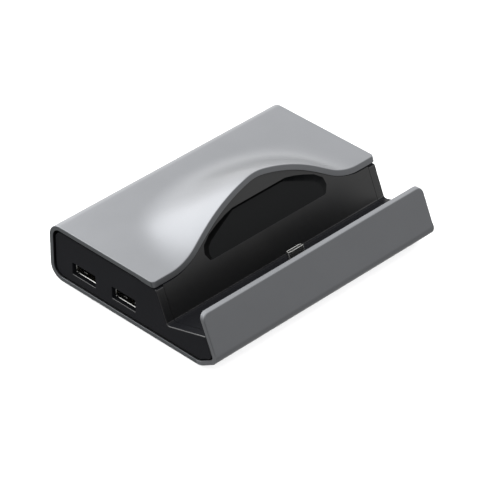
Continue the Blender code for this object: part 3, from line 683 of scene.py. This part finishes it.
STUDIO_PAPER = finish("studio_paper", (0.90, 0.90, 0.90), 0.9, grain=400, relief=0.02, vary=0.01, blotch=3.0)
FLEX_FILM = finish("flex_film", (0.45, 0.22, 0.05), 0.38, grain=900, relief=0.004, vary=0.10, blotch=400.0)

FINISHES = {
    "satin_grey": SATIN_GREY, "black_plastic": BLACK_PLASTIC, "dark_plastic": DARK_PLASTIC,
    "connector_plastic": CONNECTOR_PLASTIC, "connector_steel": STEEL, "dark_steel": DARK_STEEL,
    "aluminium": ALUMINIUM, "brass": BRASS, "board_green": BOARD_GREEN, "chip_black": CHIP_BLACK,
    "rubber": RUBBER, "thermal_pad": THERMAL_PAD, "flex_film": FLEX_FILM,
}


def dress_packed_nodes():
    """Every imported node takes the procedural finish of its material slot."""
    for part in frame["record"]["subparts"]:
        node = frame["nodes"][part["node"]]
        node.data.materials.clear()
        node.data.materials.append(FINISHES[part["material_slot"]])


# ---------------------------------------------------------------- the satin shell

# Distances from a free edge at which a section has its points, close together over the rounding.
EDGE_STEPS = [0.0, 0.02, 0.07, 0.14, 0.24, 0.36]


def edge_distance(from_end, from_rim, radius):
    """Distance from the nearest free edge, round the corner between the two."""
    if from_end < radius and from_rim < radius:
        return radius - math.hypot(radius - from_end, radius - from_rim)
    return min(from_end, from_rim)


def sink(distance, radius):
    """How far a rounded edge lies under the flat face, at a distance from the edge."""
    short = max(0.0, radius - distance)
    return radius - math.sqrt(max(0.0, radius ** 2 - short ** 2))


def spaced(near_edge, length, count):
    """Distances back from a free edge: fine steps over its rounding, then even ones up to a length."""
    steps = EDGE_STEPS + near_edge
    return steps + [steps[-1] + (length - steps[-1]) * k / count for k in range(1, count)]


def top_point(x, along, depth):
    """A point under the top face, at a distance back from the leaning rim plane."""
    y = RIM_Y + setback(x) + wave(x) * math.sin(RIM_LEAN)
    for _ in range(4):
        point = Vector((x, y, TOP + hill(x, y))) - hill_normal(x, y) * depth
        y -= point.y - (RIM_Y + setback(x) + (point.z - TOP) * math.tan(RIM_LEAN))
    y += along
    return Vector((x, y, TOP + hill(x, y))) - hill_normal(x, y) * depth


def top_lines(x):
    """The outer and inner lines of the top, from the rim to the back bend."""
    start = RIM_Y + setback(x) + wave(x) * math.sin(RIM_LEAN)
    length = BACK_Y - BACK_TOP_RADIUS - start
    outer, inner = [], []
    for along in spaced([0.7, 1.0, 1.5, 2.2], length, 30):
        gap = edge_distance(HALF_LENGTH - abs(x), along + setback(x), FRONT_CORNER_RADIUS)
        hem = HEM * (1 - ease(along, *HEM_REACH))
        outer.append(top_point(x, along, sink(gap, TOP_EDGE)))
        inner.append(top_point(x, along, SKIN + hem - sink(gap, INNER_EDGE)))
    return outer, inner


def bend_lines(x, centre, radius, start, end, steps):
    """The outer and inner lines round one bend."""
    from_end = HALF_LENGTH - abs(x)
    outer = arc(centre, radius - sink(from_end, TOP_EDGE), start, end, steps)
    inner = arc(centre, radius - SKIN + sink(from_end, INNER_EDGE), start, end, steps)
    return across_x(outer, x), across_x(inner, x)


def lip_lines(x):
    """The outer and inner lines of the lip, from its root up to its rounded top edge."""
    from_end = LIP_HALF_LENGTH - abs(x)
    into_corner = max(0.0, LIP_CORNER_RADIUS - from_end)
    drop = LIP_CORNER_RADIUS - math.sqrt(max(0.0, LIP_CORNER_RADIUS ** 2 - into_corner ** 2))
    root_z = lip_bend()[0][1] + LIP_BASE_RADIUS * math.sin(LIP_LEAN)
    straight = (LIP_TOP - root_z) / math.cos(LIP_LEAN)
    outer, inner = [], []
    for along in reversed(spaced([0.7, 1.2, 2.0], straight - drop, 8)):
        gap = edge_distance(from_end, along + drop, LIP_CORNER_RADIUS)
        z = LIP_TOP - (along + drop) * math.cos(LIP_LEAN)
        outer.append((x, lip_y(z, sink(gap, LIP_EDGE)), z))
        inner.append((x, lip_y(z, SKIN - sink(gap, INNER_EDGE)), z))
    return outer, inner


def lip_bend():
    """Centre of the bend at the lip's root, and the angles where it starts and ends."""
    corner = Vector(meet(lip_y, facet_z))
    along_facet = Vector((math.cos(FACET_ANGLE), -math.sin(FACET_ANGLE)))
    along_lip = Vector((math.sin(LIP_LEAN), math.cos(LIP_LEAN)))
    half = along_facet.angle(along_lip) / 2
    centre = corner + (along_facet + along_lip).normalized() * (LIP_BASE_RADIUS / math.sin(half))
    return centre, 270 - math.degrees(FACET_ANGLE), 180 - math.degrees(LIP_LEAN)


def shell_section(x):
    """One closed section of the shell: its outer line, then its inner line back."""
    lip_x = x * LIP_HALF_LENGTH / HALF_LENGTH
    half_bend = FACET_BEND_RADIUS * math.tan(FACET_ANGLE / 2)
    centre, lip_start, lip_end = lip_bend()
    back_top = (BACK_Y - BACK_TOP_RADIUS, TOP - BACK_TOP_RADIUS)
    back_bottom = (BACK_Y - BACK_BOTTOM_RADIUS, BACK_BOTTOM_RADIUS)
    stretches = [
        top_lines(x),
        bend_lines(x, back_top, BACK_TOP_RADIUS, 90, 0, 12),
        bend_lines(x, back_bottom, BACK_BOTTOM_RADIUS, 0, -90, 12),
        bend_lines(x, (FACET_Y + half_bend, FACET_BEND_RADIUS), FACET_BEND_RADIUS, 270, lip_start, 8),
        bend_lines(lip_x, centre, LIP_BASE_RADIUS, lip_start, lip_end, 14),
        lip_lines(lip_x),
    ]
    outer = [point for line, _ in stretches for point in line]
    inner = [point for _, line in stretches for point in line]
    return outer + inner[::-1]


def shell_stations():
    """Section positions, close together near each end where the edges are rounded."""
    pitch = 1.5
    near_end = EDGE_STEPS + [0.6, 0.9, 1.2, 1.5, 2.0, 2.6, 3.2, 4.0]
    even = [pitch * k for k in range(1, int((HALF_LENGTH - near_end[-1]) / pitch))]
    half = even + [HALF_LENGTH - gap for gap in reversed(near_end)]
    return [-x for x in reversed(half)] + [0.0] + half


def make_shell():
    """The bent sheet, with a stepped screw hole over each foot and its end faces behind the lip painted
    darker as shade.
    """
    sections = [shell_section(x) for x in shell_stations()]
    shell = loft("shell_cover", sections, strip_caps=True)
    holes = []
    for x in SCREW_X:
        for y in SCREW_Y:
            steps = [(SCREW_HEAD_RADIUS, -1.0), (SCREW_HEAD_RADIUS, SCREW_HEAD_DEPTH),
                     (SCREW_SHANK_RADIUS, SCREW_HEAD_DEPTH), (SCREW_SHANK_RADIUS, SKIN + 1.0)]
            holes.append(turned("screw_hole", (x, y), steps, 32))
    carve(shell, holes)
    smooth(shell, 50.0)
    flatten(shell)
    settle(shell, SATIN_GREY, "satin_grey", "dock", "wrap_cover")
    # Painted shade: the end faces behind the lip take the darker grey.
    paint(shell, [END_SHADE_GREY], lambda face: abs(face.normal.x) > 0.8 and local(face.center).y > END_SHADE_FRONT_Y)


# ---------------------------------------------------------------- the cradle

def cradle_section(x):
    """The wall and the floor of the cradle as one bent sheet."""
    root = (wall_y(ROOT_Z), ROOT_Z)
    front = meet(lambda z: lip_y(z, SKIN + SLACK), floor_z)
    under = meet(lambda z: lip_y(z, SKIN + SLACK), lambda y: floor_z(y) - FLOOR_THICK)
    heel = meet(wall_back_y, lambda y: floor_z(y) - FLOOR_THICK)
    front_z, back_z = wall_crown(x, wall_y), wall_crown(x, wall_back_y)
    head, nape = (wall_y(front_z), front_z), (wall_back_y(back_z), back_z)
    points = [head] + fillet(head, root, front, ROOT_RADIUS, 8) + [front, under, heel, nape]
    return across_x(points, x)


def on_wall(point):
    """A point given along the dock, up the wall from its root, and out of its face."""
    x, up, out = point
    sin, cos = math.sin(WALL_LEAN), math.cos(WALL_LEAN)
    return world((x, wall_y(ROOT_Z) + up * sin - out * cos, ROOT_Z + up * cos + out * sin))


def pocket_ring(share, depth_share, out=0.0):
    """An outline on the way from the pocket's mouth to its floor, at a share of the depth there."""
    low, high = POCKET_MOUTH[0][1], POCKET_MOUTH[-1][1]
    half = [Vector(a).lerp(Vector(b), share) for a, b in zip(POCKET_MOUTH, POCKET_FLOOR)]
    corners = half + [Vector((-p.x, p.y)) for p in reversed(half)]
    points = []
    for x, up in rounded(corners, POCKET_CORNER_RADIUS, 5):
        deep = POCKET_SHALLOW + (POCKET_DEEP - POCKET_SHALLOW) * (up - low) / (high - low)
        points.append((x, up, out - deep * depth_share))
    return points


def pocket_tool():
    """The pocket: it runs out at its foot, and its head and its sides slope to its floor."""
    rings = [pocket_ring(0.0, 0.0, POCKET_TOOL_PROUD)]
    rings += [pocket_ring(share, depth_share) for share, depth_share in POCKET_SLOPE]
    tool = loft("pocket_tool", rings, on_wall)
    last = len(tool.data.polygons) - 1
    for face in tool.data.polygons:
        centre = local(face.center)
        up = centre.z / math.cos(WALL_LEAN) - ROOT_Z
        # The head and the left side slopes take the near-black finish: a painted shadow.
        floor_like = face.index == last or up < POCKET_LOW or centre.x > POCKET_LIT_X
        face.material_index = 1 if floor_like else 2
    return tool


def make_cradle():
    """The wall with its pocket and the slot's floor, which has the plug's slot in it.

    The boolean carries the pocket's material numbers over, and settle() resets them, so they are kept.
    """
    spans = 96
    positions = [-CRADLE_HALF_LENGTH + 2 * CRADLE_HALF_LENGTH * k / spans for k in range(spans + 1)]
    cradle = loft("cradle", [cradle_section(x) for x in positions])
    slot = rectangle((0, 0), *PLUG_SLOT)
    plug_slot = loft("plug_slot", [on_plug(slot, z) for z in PLUG_SLOT_HEIGHTS], Vector)
    pocket = pocket_tool()
    further = [POCKET_BLACK, POCKET_SHADE, PANEL_BLACK]
    for mesh in (cradle.data, pocket.data):
        for material in [BLACK_PLASTIC] + further:
            mesh.materials.append(material)
    carve(cradle, [pocket, plug_slot])
    surfaces = [3 if face.normal.z > 0.7 else face.material_index for face in cradle.data.polygons]
    smooth(cradle, 30.0)
    flatten(cradle)
    settle(cradle, BLACK_PLASTIC, "black_plastic", "dock", "cradle_body")
    paint(cradle, further, lambda face: surfaces[face.index])


# ---------------------------------------------------------------- the end panels and their ports

def panel_outline():
    """The end panel's outline: wall, floor, lip, facet, base and back, inside the shell's rim."""
    top = TOP - SKIN - TOP_GAP
    bottom = SKIN + CLEARANCE
    back = BACK_Y - SKIN - RIM_GAP
    root = (wall_y(ROOT_Z), ROOT_Z)
    head = (wall_y(top), top)
    behind_lip = SKIN + CLEARANCE + LIP_GAP
    nose = meet(lambda z: lip_y(z, behind_lip), floor_z)
    chin = meet(lambda z: lip_y(z, behind_lip), lambda y: facet_z(y, SKIN + CLEARANCE))
    toe = (FACET_Y + (SKIN + CLEARANCE) * math.tan(FACET_ANGLE / 2), bottom)
    heel, nape = (back, bottom), (back, top)
    outline = fillet(nape, head, root, PANEL_HEAD_RADIUS, 5)
    outline += fillet(head, root, nose, ROOT_RADIUS, 8)
    outline += fillet(root, nose, chin, PANEL_NOSE_RADIUS, 3)
    outline += fillet(nose, chin, toe, PANEL_CHIN_RADIUS, 8)
    outline += fillet(chin, toe, heel, PANEL_TOE_RADIUS, 3)
    outline += fillet(toe, heel, nape, BACK_BOTTOM_RADIUS - SKIN - CLEARANCE, 8)
    outline += fillet(heel, nape, head, BACK_TOP_RADIUS - SKIN - RIM_GAP, 8)
    return outline


def port_tools(side, opening, seat, web):
    """A chamfered opening through the panel, and a wider seat behind its web for the receptacle."""
    proud, behind = 0.5, PANEL_BACK - 1.0
    rings = [
        across_x(offset(opening, PORT_CHAMFER + proud), side * (PANEL_FACE + proud)),
        across_x(offset(opening, PORT_CHAMFER), side * PANEL_FACE),
        across_x(opening, side * (PANEL_FACE - PORT_CHAMFER)),
        across_x(opening, side * behind),
    ]
    seat_rings = [across_x(seat, side * x) for x in (PANEL_FACE - web, behind)]
    return [loft("port_mouth", rings), loft("port_seat", seat_rings)]


def panel_surface(face):
    """Which of a panel's materials a face takes: 1 along the wall, 2 on upward edges, where a highlight is
    painted on.
    """
    centre, slant, up = local(face.center), abs(face.normal.x), face.normal.z
    in_front = centre.y < RIM_Y
    if in_front and WALL_RISE[0] < up < WALL_RISE[1] and slant < EDGE_SLANT[1]:
        return 1
    # Upward faces on an edge take the brighter black: a painted highlight.
    if EDGE_SLANT[0] < slant < EDGE_SLANT[1]:
        if in_front and up > 0.5:
            return 2
        if abs(centre.z - PORT_Z) < PORT_HALF_ZONE and up > 0.3:
            return 2
    return 0


def make_panel(name, node, side, ports, web):
    """One end panel with a rounded edge and its ports, given as pairs of an opening and a seat."""
    outline = panel_outline()
    rings = [across_x(outline, side * PANEL_BACK)]
    for k in range(6):
        angle = math.radians(90 * k / 5)
        inset = PANEL_EDGE * (1 - math.cos(angle))
        x = PANEL_FACE - PANEL_EDGE * (1 - math.sin(angle))
        rings.append(across_x(offset(outline, -inset), side * x))
    panel = loft(name, rings)
    tools = []
    for opening, seat in ports:
        tools += port_tools(side, opening, seat, web)
    carve(panel, tools)
    smooth(panel, 30.0)
    flatten(panel)
    settle(panel, PANEL_BLACK, "black_plastic", "dock", node)
    paint(panel, [BLACK_PLASTIC, HIGHLIGHT_BLACK], panel_surface)


def make_panels():
    """The left panel with two USB-A ports, and the right one with the HDMI port and the inlet."""
    usb = []
    for y in (USB_A_REAR_Y, USB_A_FRONT_Y):
        opening = rectangle((y + USB_OPENING_SHIFT, PORT_Z - USB_OPENING_SHIFT), *USB_OPENING)
        usb.append((opening, rectangle((y, PORT_Z), *USB_SEAT)))
    make_panel("panel_left", "left_panel", -1, usb, USB_WEB)
    centre = (HDMI_Y, PORT_Z)
    video = (hdmi_outline(centre, *HDMI_OPENING), hdmi_outline(centre, *HDMI_SEAT))
    centre = (INLET_Y, PORT_Z)
    inlet = (stadium(centre, *INLET_OPENING), stadium(centre, *INLET_SEAT))
    make_panel("panel_right", "right_panel", 1, [video, inlet], RIGHT_WEB)


def receptacle(name, node, side, outer, inner, mouth):
    """A folded steel receptacle: flared inside its mouth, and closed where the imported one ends."""
    edge, flare = RECEPTACLE_EDGE, RECEPTACLE_FLARE
    low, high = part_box(node)
    rear = min(abs(low.x), abs(high.x)) / MM
    steps = [
        (outer, rear), (outer, mouth - edge), (offset(outer, -edge), mouth),
        (offset(inner, flare), mouth), (inner, mouth - flare), (inner, rear + RECEPTACLE_REAR_WALL),
    ]
    shell = loft(name, [across_x(outline, side * x) for outline, x in steps])
    smooth(shell, 30.0)
    settle(shell, STEEL, "connector_steel", "dock", node)


def spring_tab(centre_y):
    """Sections of a pressed spring tab on a left receptacle's floor, as a strip bent up in its middle."""
    length, width, thick = SPRING_SIZE
    left, right = centre_y - width / 2, centre_y + width / 2
    rings = []
    for k in range(9):
        t = k / 8
        x = -(MOUTH - SPRING_START - length * t)
        z = SPRING_Z + SPRING_RISE * math.sin(math.pi * min(1.0, t * 1.15)) ** 1.2
        rings.append([(x, left, z), (x, right, z), (x, right, z + thick), (x, left, z + thick)])
    return rings


def contact_row(centre_y, z, start, end, count, pitch, width, thick):
    """A row of flat contacts beside each other along Y, each from start to end along X."""
    strips = []
    for k in range(count):
        y = centre_y + (k - (count - 1) / 2) * pitch
        strips.append(block((start, y - width / 2, z), (end, y + width / 2, z + thick)))
    return strips


def tongue_contacts(name, tongue, centre_y, reach, stagger, sizes):
    """Rows of contacts under and on a right port's tongue, the upper one staggered along Y."""
    low, high = tongue
    start, end = MOUTH - reach[1], MOUTH - reach[0]
    strips = contact_row(centre_y, local(low).z - sizes["thick"], start, end, **sizes)
    strips += contact_row(centre_y + stagger, local(high).z, start, end, **sizes)
    settle(joined(name, strips), GOLD, "connector_steel", "dock")


def make_usb_a(label, y):
    """One USB-A receptacle with its spring tabs and the four contacts on its tongue."""
    outer, inner = rectangle((y, PORT_Z), *USB_OUTER), rectangle((y, PORT_Z), *USB_INNER)
    receptacle(f"usb_a_receptacle_{label}", f"usb_a_shell_{label}", -1, outer, inner, USB_MOUTH)
    for k, centre_y in enumerate((y - SPRING_OFFSET, y + SPRING_OFFSET)):
        tab = loft(f"usb_a_spring_{label}_{k + 1}", spring_tab(centre_y))
        smooth(tab, 30.0)
        settle(tab, STEEL, "connector_steel", "dock")
    start, end = [reach - MOUTH for reach in USB_CONTACT_REACH]
    strips = contact_row(y, USB_CONTACT_Z, start, end, **USB_CONTACTS)
    settle(joined(f"usb_a_contacts_{label}", strips), GOLD, "connector_steel", "dock")


def make_right_receptacles():
    """The HDMI port and the USB-C power inlet, with the contacts on their tongues."""
    centre = (HDMI_Y, PORT_Z)
    outer, inner = hdmi_outline(centre, *HDMI_OUTER), hdmi_outline(centre, *HDMI_INNER)
    receptacle("hdmi_receptacle", "hdmi_shell", 1, outer, inner, MOUTH)
    centre = (INLET_Y, PORT_Z)
    outer, inner = stadium(centre, *INLET_OUTER), stadium(centre, *INLET_INNER)
    receptacle("inlet_receptacle", "inlet_shell", 1, outer, inner, MOUTH)
    tongue_contacts("hdmi_contacts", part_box("hdmi_tongue"), HDMI_Y, HDMI_CONTACT_REACH, HDMI_STAGGER,
                    HDMI_CONTACTS)
    tongue_contacts("inlet_contacts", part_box("inlet_tongue"), INLET_Y, INLET_CONTACT_REACH, 0.0,
                    INLET_CONTACTS)


# ---------------------------------------------------------------- the plug

# The plug's own frame stands on the joint plug_rock and leans back with the wall.
PIVOT = Vector(frame["joints"][0]["pos_m"])
PLUG_FRAME = Matrix.Translation(PIVOT) @ Matrix.Rotation(-PLUG_LEAN, 4, "X")


def in_plug(point):
    """A point of the plug's frame in the frame's metres."""
    return PLUG_FRAME @ (Vector(point) * MM)


def on_plug(outline, z):
    """An outline across the plug at a height over its pivot, in the frame's metres."""
    return [in_plug((x, y, z)) for x, y in outline]


def make_plug():
    """The steel sleeve with its rounded tip, and what is inside its mouth."""
    width, height = PLUG_SIZE
    outer = stadium((0, 0), width, height)
    inner = stadium((0, 0), width - 2 * PLUG_WALL, height - 2 * PLUG_WALL)
    rings = [on_plug(outer, PLUG_ROOT)]
    for k in range(9):
        angle = math.radians(180 * k / 8)
        middle = offset(outer, -PLUG_WALL / 2 + (PLUG_WALL / 2) * math.cos(angle))
        rings.append(on_plug(middle, PLUG_TIP - PLUG_EDGE + PLUG_EDGE * math.sin(angle)))
    rings.append(on_plug(inner, PLUG_ROOT))
    sleeve = ring_solid("plug_sleeve", rings)
    smooth(sleeve, 40.0)
    settle(sleeve, STEEL, "connector_steel", "plug", "plug_shell")
    make_plug_core()
    make_plug_contacts()


def make_plug_core():
    """The insulator ring inside the plug's mouth."""
    outer, inner = stadium((0, 0), *CORE_OUTER), stadium((0, 0), *CORE_INNER)
    low, high = CORE_HEIGHTS
    rings = [on_plug(outer, low), on_plug(outer, high), on_plug(inner, high), on_plug(inner, low)]
    core = ring_solid("plug_core", rings)
    smooth(core, 40.0)
    settle(core, CONNECTOR_PLASTIC, "connector_plastic", "plug")


def make_plug_contacts():
    """Two rows of contact springs inside the insulator ring."""
    half_width, half_thick = PLUG_CONTACT_HALF
    bottom, top = PLUG_CONTACT_HEIGHTS
    springs = []
    for side in (-1, 1):
        y = side * PLUG_CONTACT_OFFSET
        for k in range(12):
            x = (k - 5.5) * PLUG_CONTACT_PITCH
            low = (x - half_width, y - half_thick, bottom)
            high = (x + half_width, y + half_thick, top)
            springs.append(block(low, high, in_plug))
    settle(joined("plug_contacts", springs), GOLD, "connector_steel", "plug")


# ---------------------------------------------------------------- the feet

def make_feet():
    """Rubber discs with a rounded lower edge and a shallow dish."""
    for along in ("front", "rear"):
        for across in ("left", "right"):
            node = f"foot_{along}_{across}"
            low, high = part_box(node)
            centre = (low + high) / 2
            radius = (high.x - low.x) / 2 / MM
            height = (high.z - low.z) / MM
            dish = radius - FOOT_DISH_INSET
            profile = [(dish, FOOT_DISH_DEPTH), (dish + FOOT_DISH_SLOPE, 0.0)]
            profile += arc((radius - FOOT_EDGE, FOOT_EDGE), FOOT_EDGE, -90, 0, 6)
            profile += [(radius, height - FOOT_TOP_CHAMFER), (radius - FOOT_TOP_CHAMFER, height)]
            foot = turned(f"{node}_pad", (0.0, 0.0), profile, 72,
                          lambda p: Vector((centre.x, centre.y, low.z)) + Vector(p) * MM)
            smooth(foot, 30.0)
            settle(foot, RUBBER, "rubber", "dock", node)


# ---------------------------------------------------------------- the studio

# The camera, fitted to the dock's edges in the photograph: where it looks, from where, and its lens.
CAMERA_TARGET = (1.65, 4.05, 5.71)
CAMERA_AZIMUTH = math.radians(45.10)
CAMERA_ELEVATION = math.radians(35.22)
CAMERA_DISTANCE = 1199.64
CAMERA_LENS = 232.93

# The sky's strength from the side away from BRIGHT_SIDE (-1) to the side towards it (1).
BRIGHT_SIDE = (0.45, 0.60, 0.66)
SKY = [(-1.0, 0.30), (-0.45, 0.41), (-0.18, 0.53), (0.30, 1.05), (0.65, 1.40), (1.0, 1.62)]
SKY_PEAK = 2.0


def make_camera():
    """The photograph's camera: a long lens from the front left, above."""
    camera = bpy.data.objects.new("camera", bpy.data.cameras.new("camera"))
    camera.data.sensor_width = 36.0
    camera.data.lens = CAMERA_LENS
    camera.data.clip_end = 20.0
    level = math.cos(CAMERA_ELEVATION)
    look = Vector((
        math.sin(CAMERA_AZIMUTH) * level, math.cos(CAMERA_AZIMUTH) * level, -math.sin(CAMERA_ELEVATION),
    ))
    camera.location = world(CAMERA_TARGET) - look * CAMERA_DISTANCE * MM
    camera.rotation_mode = "QUATERNION"
    camera.rotation_quaternion = look.to_track_quat("-Z", "Y")
    bpy.context.scene.collection.objects.link(camera)
    bpy.context.scene.camera = camera


def make_floor():
    """A sheet of white paper that only the camera sees, so that it lights nothing from below."""
    bm = bmesh.new()
    bmesh.ops.create_grid(bm, x_segments=8, y_segments=8, size=4.0)
    floor = new_piece("studio_floor", bm)
    floor.location = (0.0, 0.0, CAD_BOUNDS[0].z - 0.0001)
    floor.visible_glossy = False
    floor.visible_diffuse = False
    floor.data.materials.append(STUDIO_PAPER)
    return floor


def softbox(name, direction, distance, width, height, power):
    """An area light that shines on the dock from a direction, sized in metres."""
    light = bpy.data.lights.new(name, "AREA")
    light.shape = "RECTANGLE"
    light.size = width
    light.size_y = height
    light.energy = power
    lamp = bpy.data.objects.new(name, light)
    away = Vector(direction).normalized()
    lamp.location = away * distance
    lamp.rotation_mode = "QUATERNION"
    lamp.rotation_quaternion = (-away).to_track_quat("-Z", "Y")
    bpy.context.scene.collection.objects.link(lamp)
    return lamp


def make_sky():
    """A studio tent that is bright behind the dock and above it, and dark in front."""
    backdrop = bpy.data.worlds.new("studio")
    bpy.context.scene.world = backdrop
    backdrop.use_nodes = True
    tree = backdrop.node_tree
    shade = tree.nodes["Background"]
    shade.inputs["Strength"].default_value = SKY_PEAK
    place = tree.nodes.new("ShaderNodeTexCoord")
    facing = tree.nodes.new("ShaderNodeVectorMath")
    facing.operation = "DOT_PRODUCT"
    facing.inputs[1].default_value = Vector(BRIGHT_SIDE).normalized()
    level = tree.nodes.new("ShaderNodeMapRange")
    level.inputs["From Min"].default_value = -1.0
    ramp = tree.nodes.new("ShaderNodeValToRGB")
    ramp.color_ramp.interpolation = "EASE"
    while len(ramp.color_ramp.elements) < len(SKY):
        ramp.color_ramp.elements.new(0.5)
    for element, (turn, strength) in zip(ramp.color_ramp.elements, SKY):
        element.position = (turn + 1) / 2
        element.color = (strength / SKY_PEAK,) * 3 + (1.0,)
    link(tree, place, "Generated", facing, "Vector")
    link(tree, facing, "Value", level, "Value")
    link(tree, level, "Result", ramp, "Fac")
    link(tree, ramp, "Color", shade, "Color")


def make_lights(floor):
    """Two softboxes that show only in reflections, and a fill that lights only the floor."""
    glow = softbox("low_softbox", (-0.15, 0.87, 0.46), distance=0.5, width=0.55, height=0.42, power=1.5)
    glow.visible_diffuse = False
    tail = softbox("tail_softbox", (0.60, 0.78, 0.16), distance=0.5, width=0.36, height=0.15, power=0.075)
    tail.visible_diffuse = False
    fill = softbox("floor_fill", (0.0, 0.0, 1.0), distance=2.0, width=1.0, height=1.0, power=36.0)
    fill.visible_glossy = False
    fill.data.use_shadow = False
    floor_only = bpy.data.collections.new("floor_only")
    floor_only.objects.link(floor)
    fill.light_linking.receiver_collection = floor_only


bpy.context.scene.view_settings.view_transform = "Standard"
make_camera()
make_sky()
make_lights(make_floor())
dress_packed_nodes()
make_shell()
make_cradle()
make_panels()
make_usb_a("rear", USB_A_REAR_Y)
make_usb_a("front", USB_A_FRONT_Y)
make_right_receptacles()
make_plug()
make_feet()
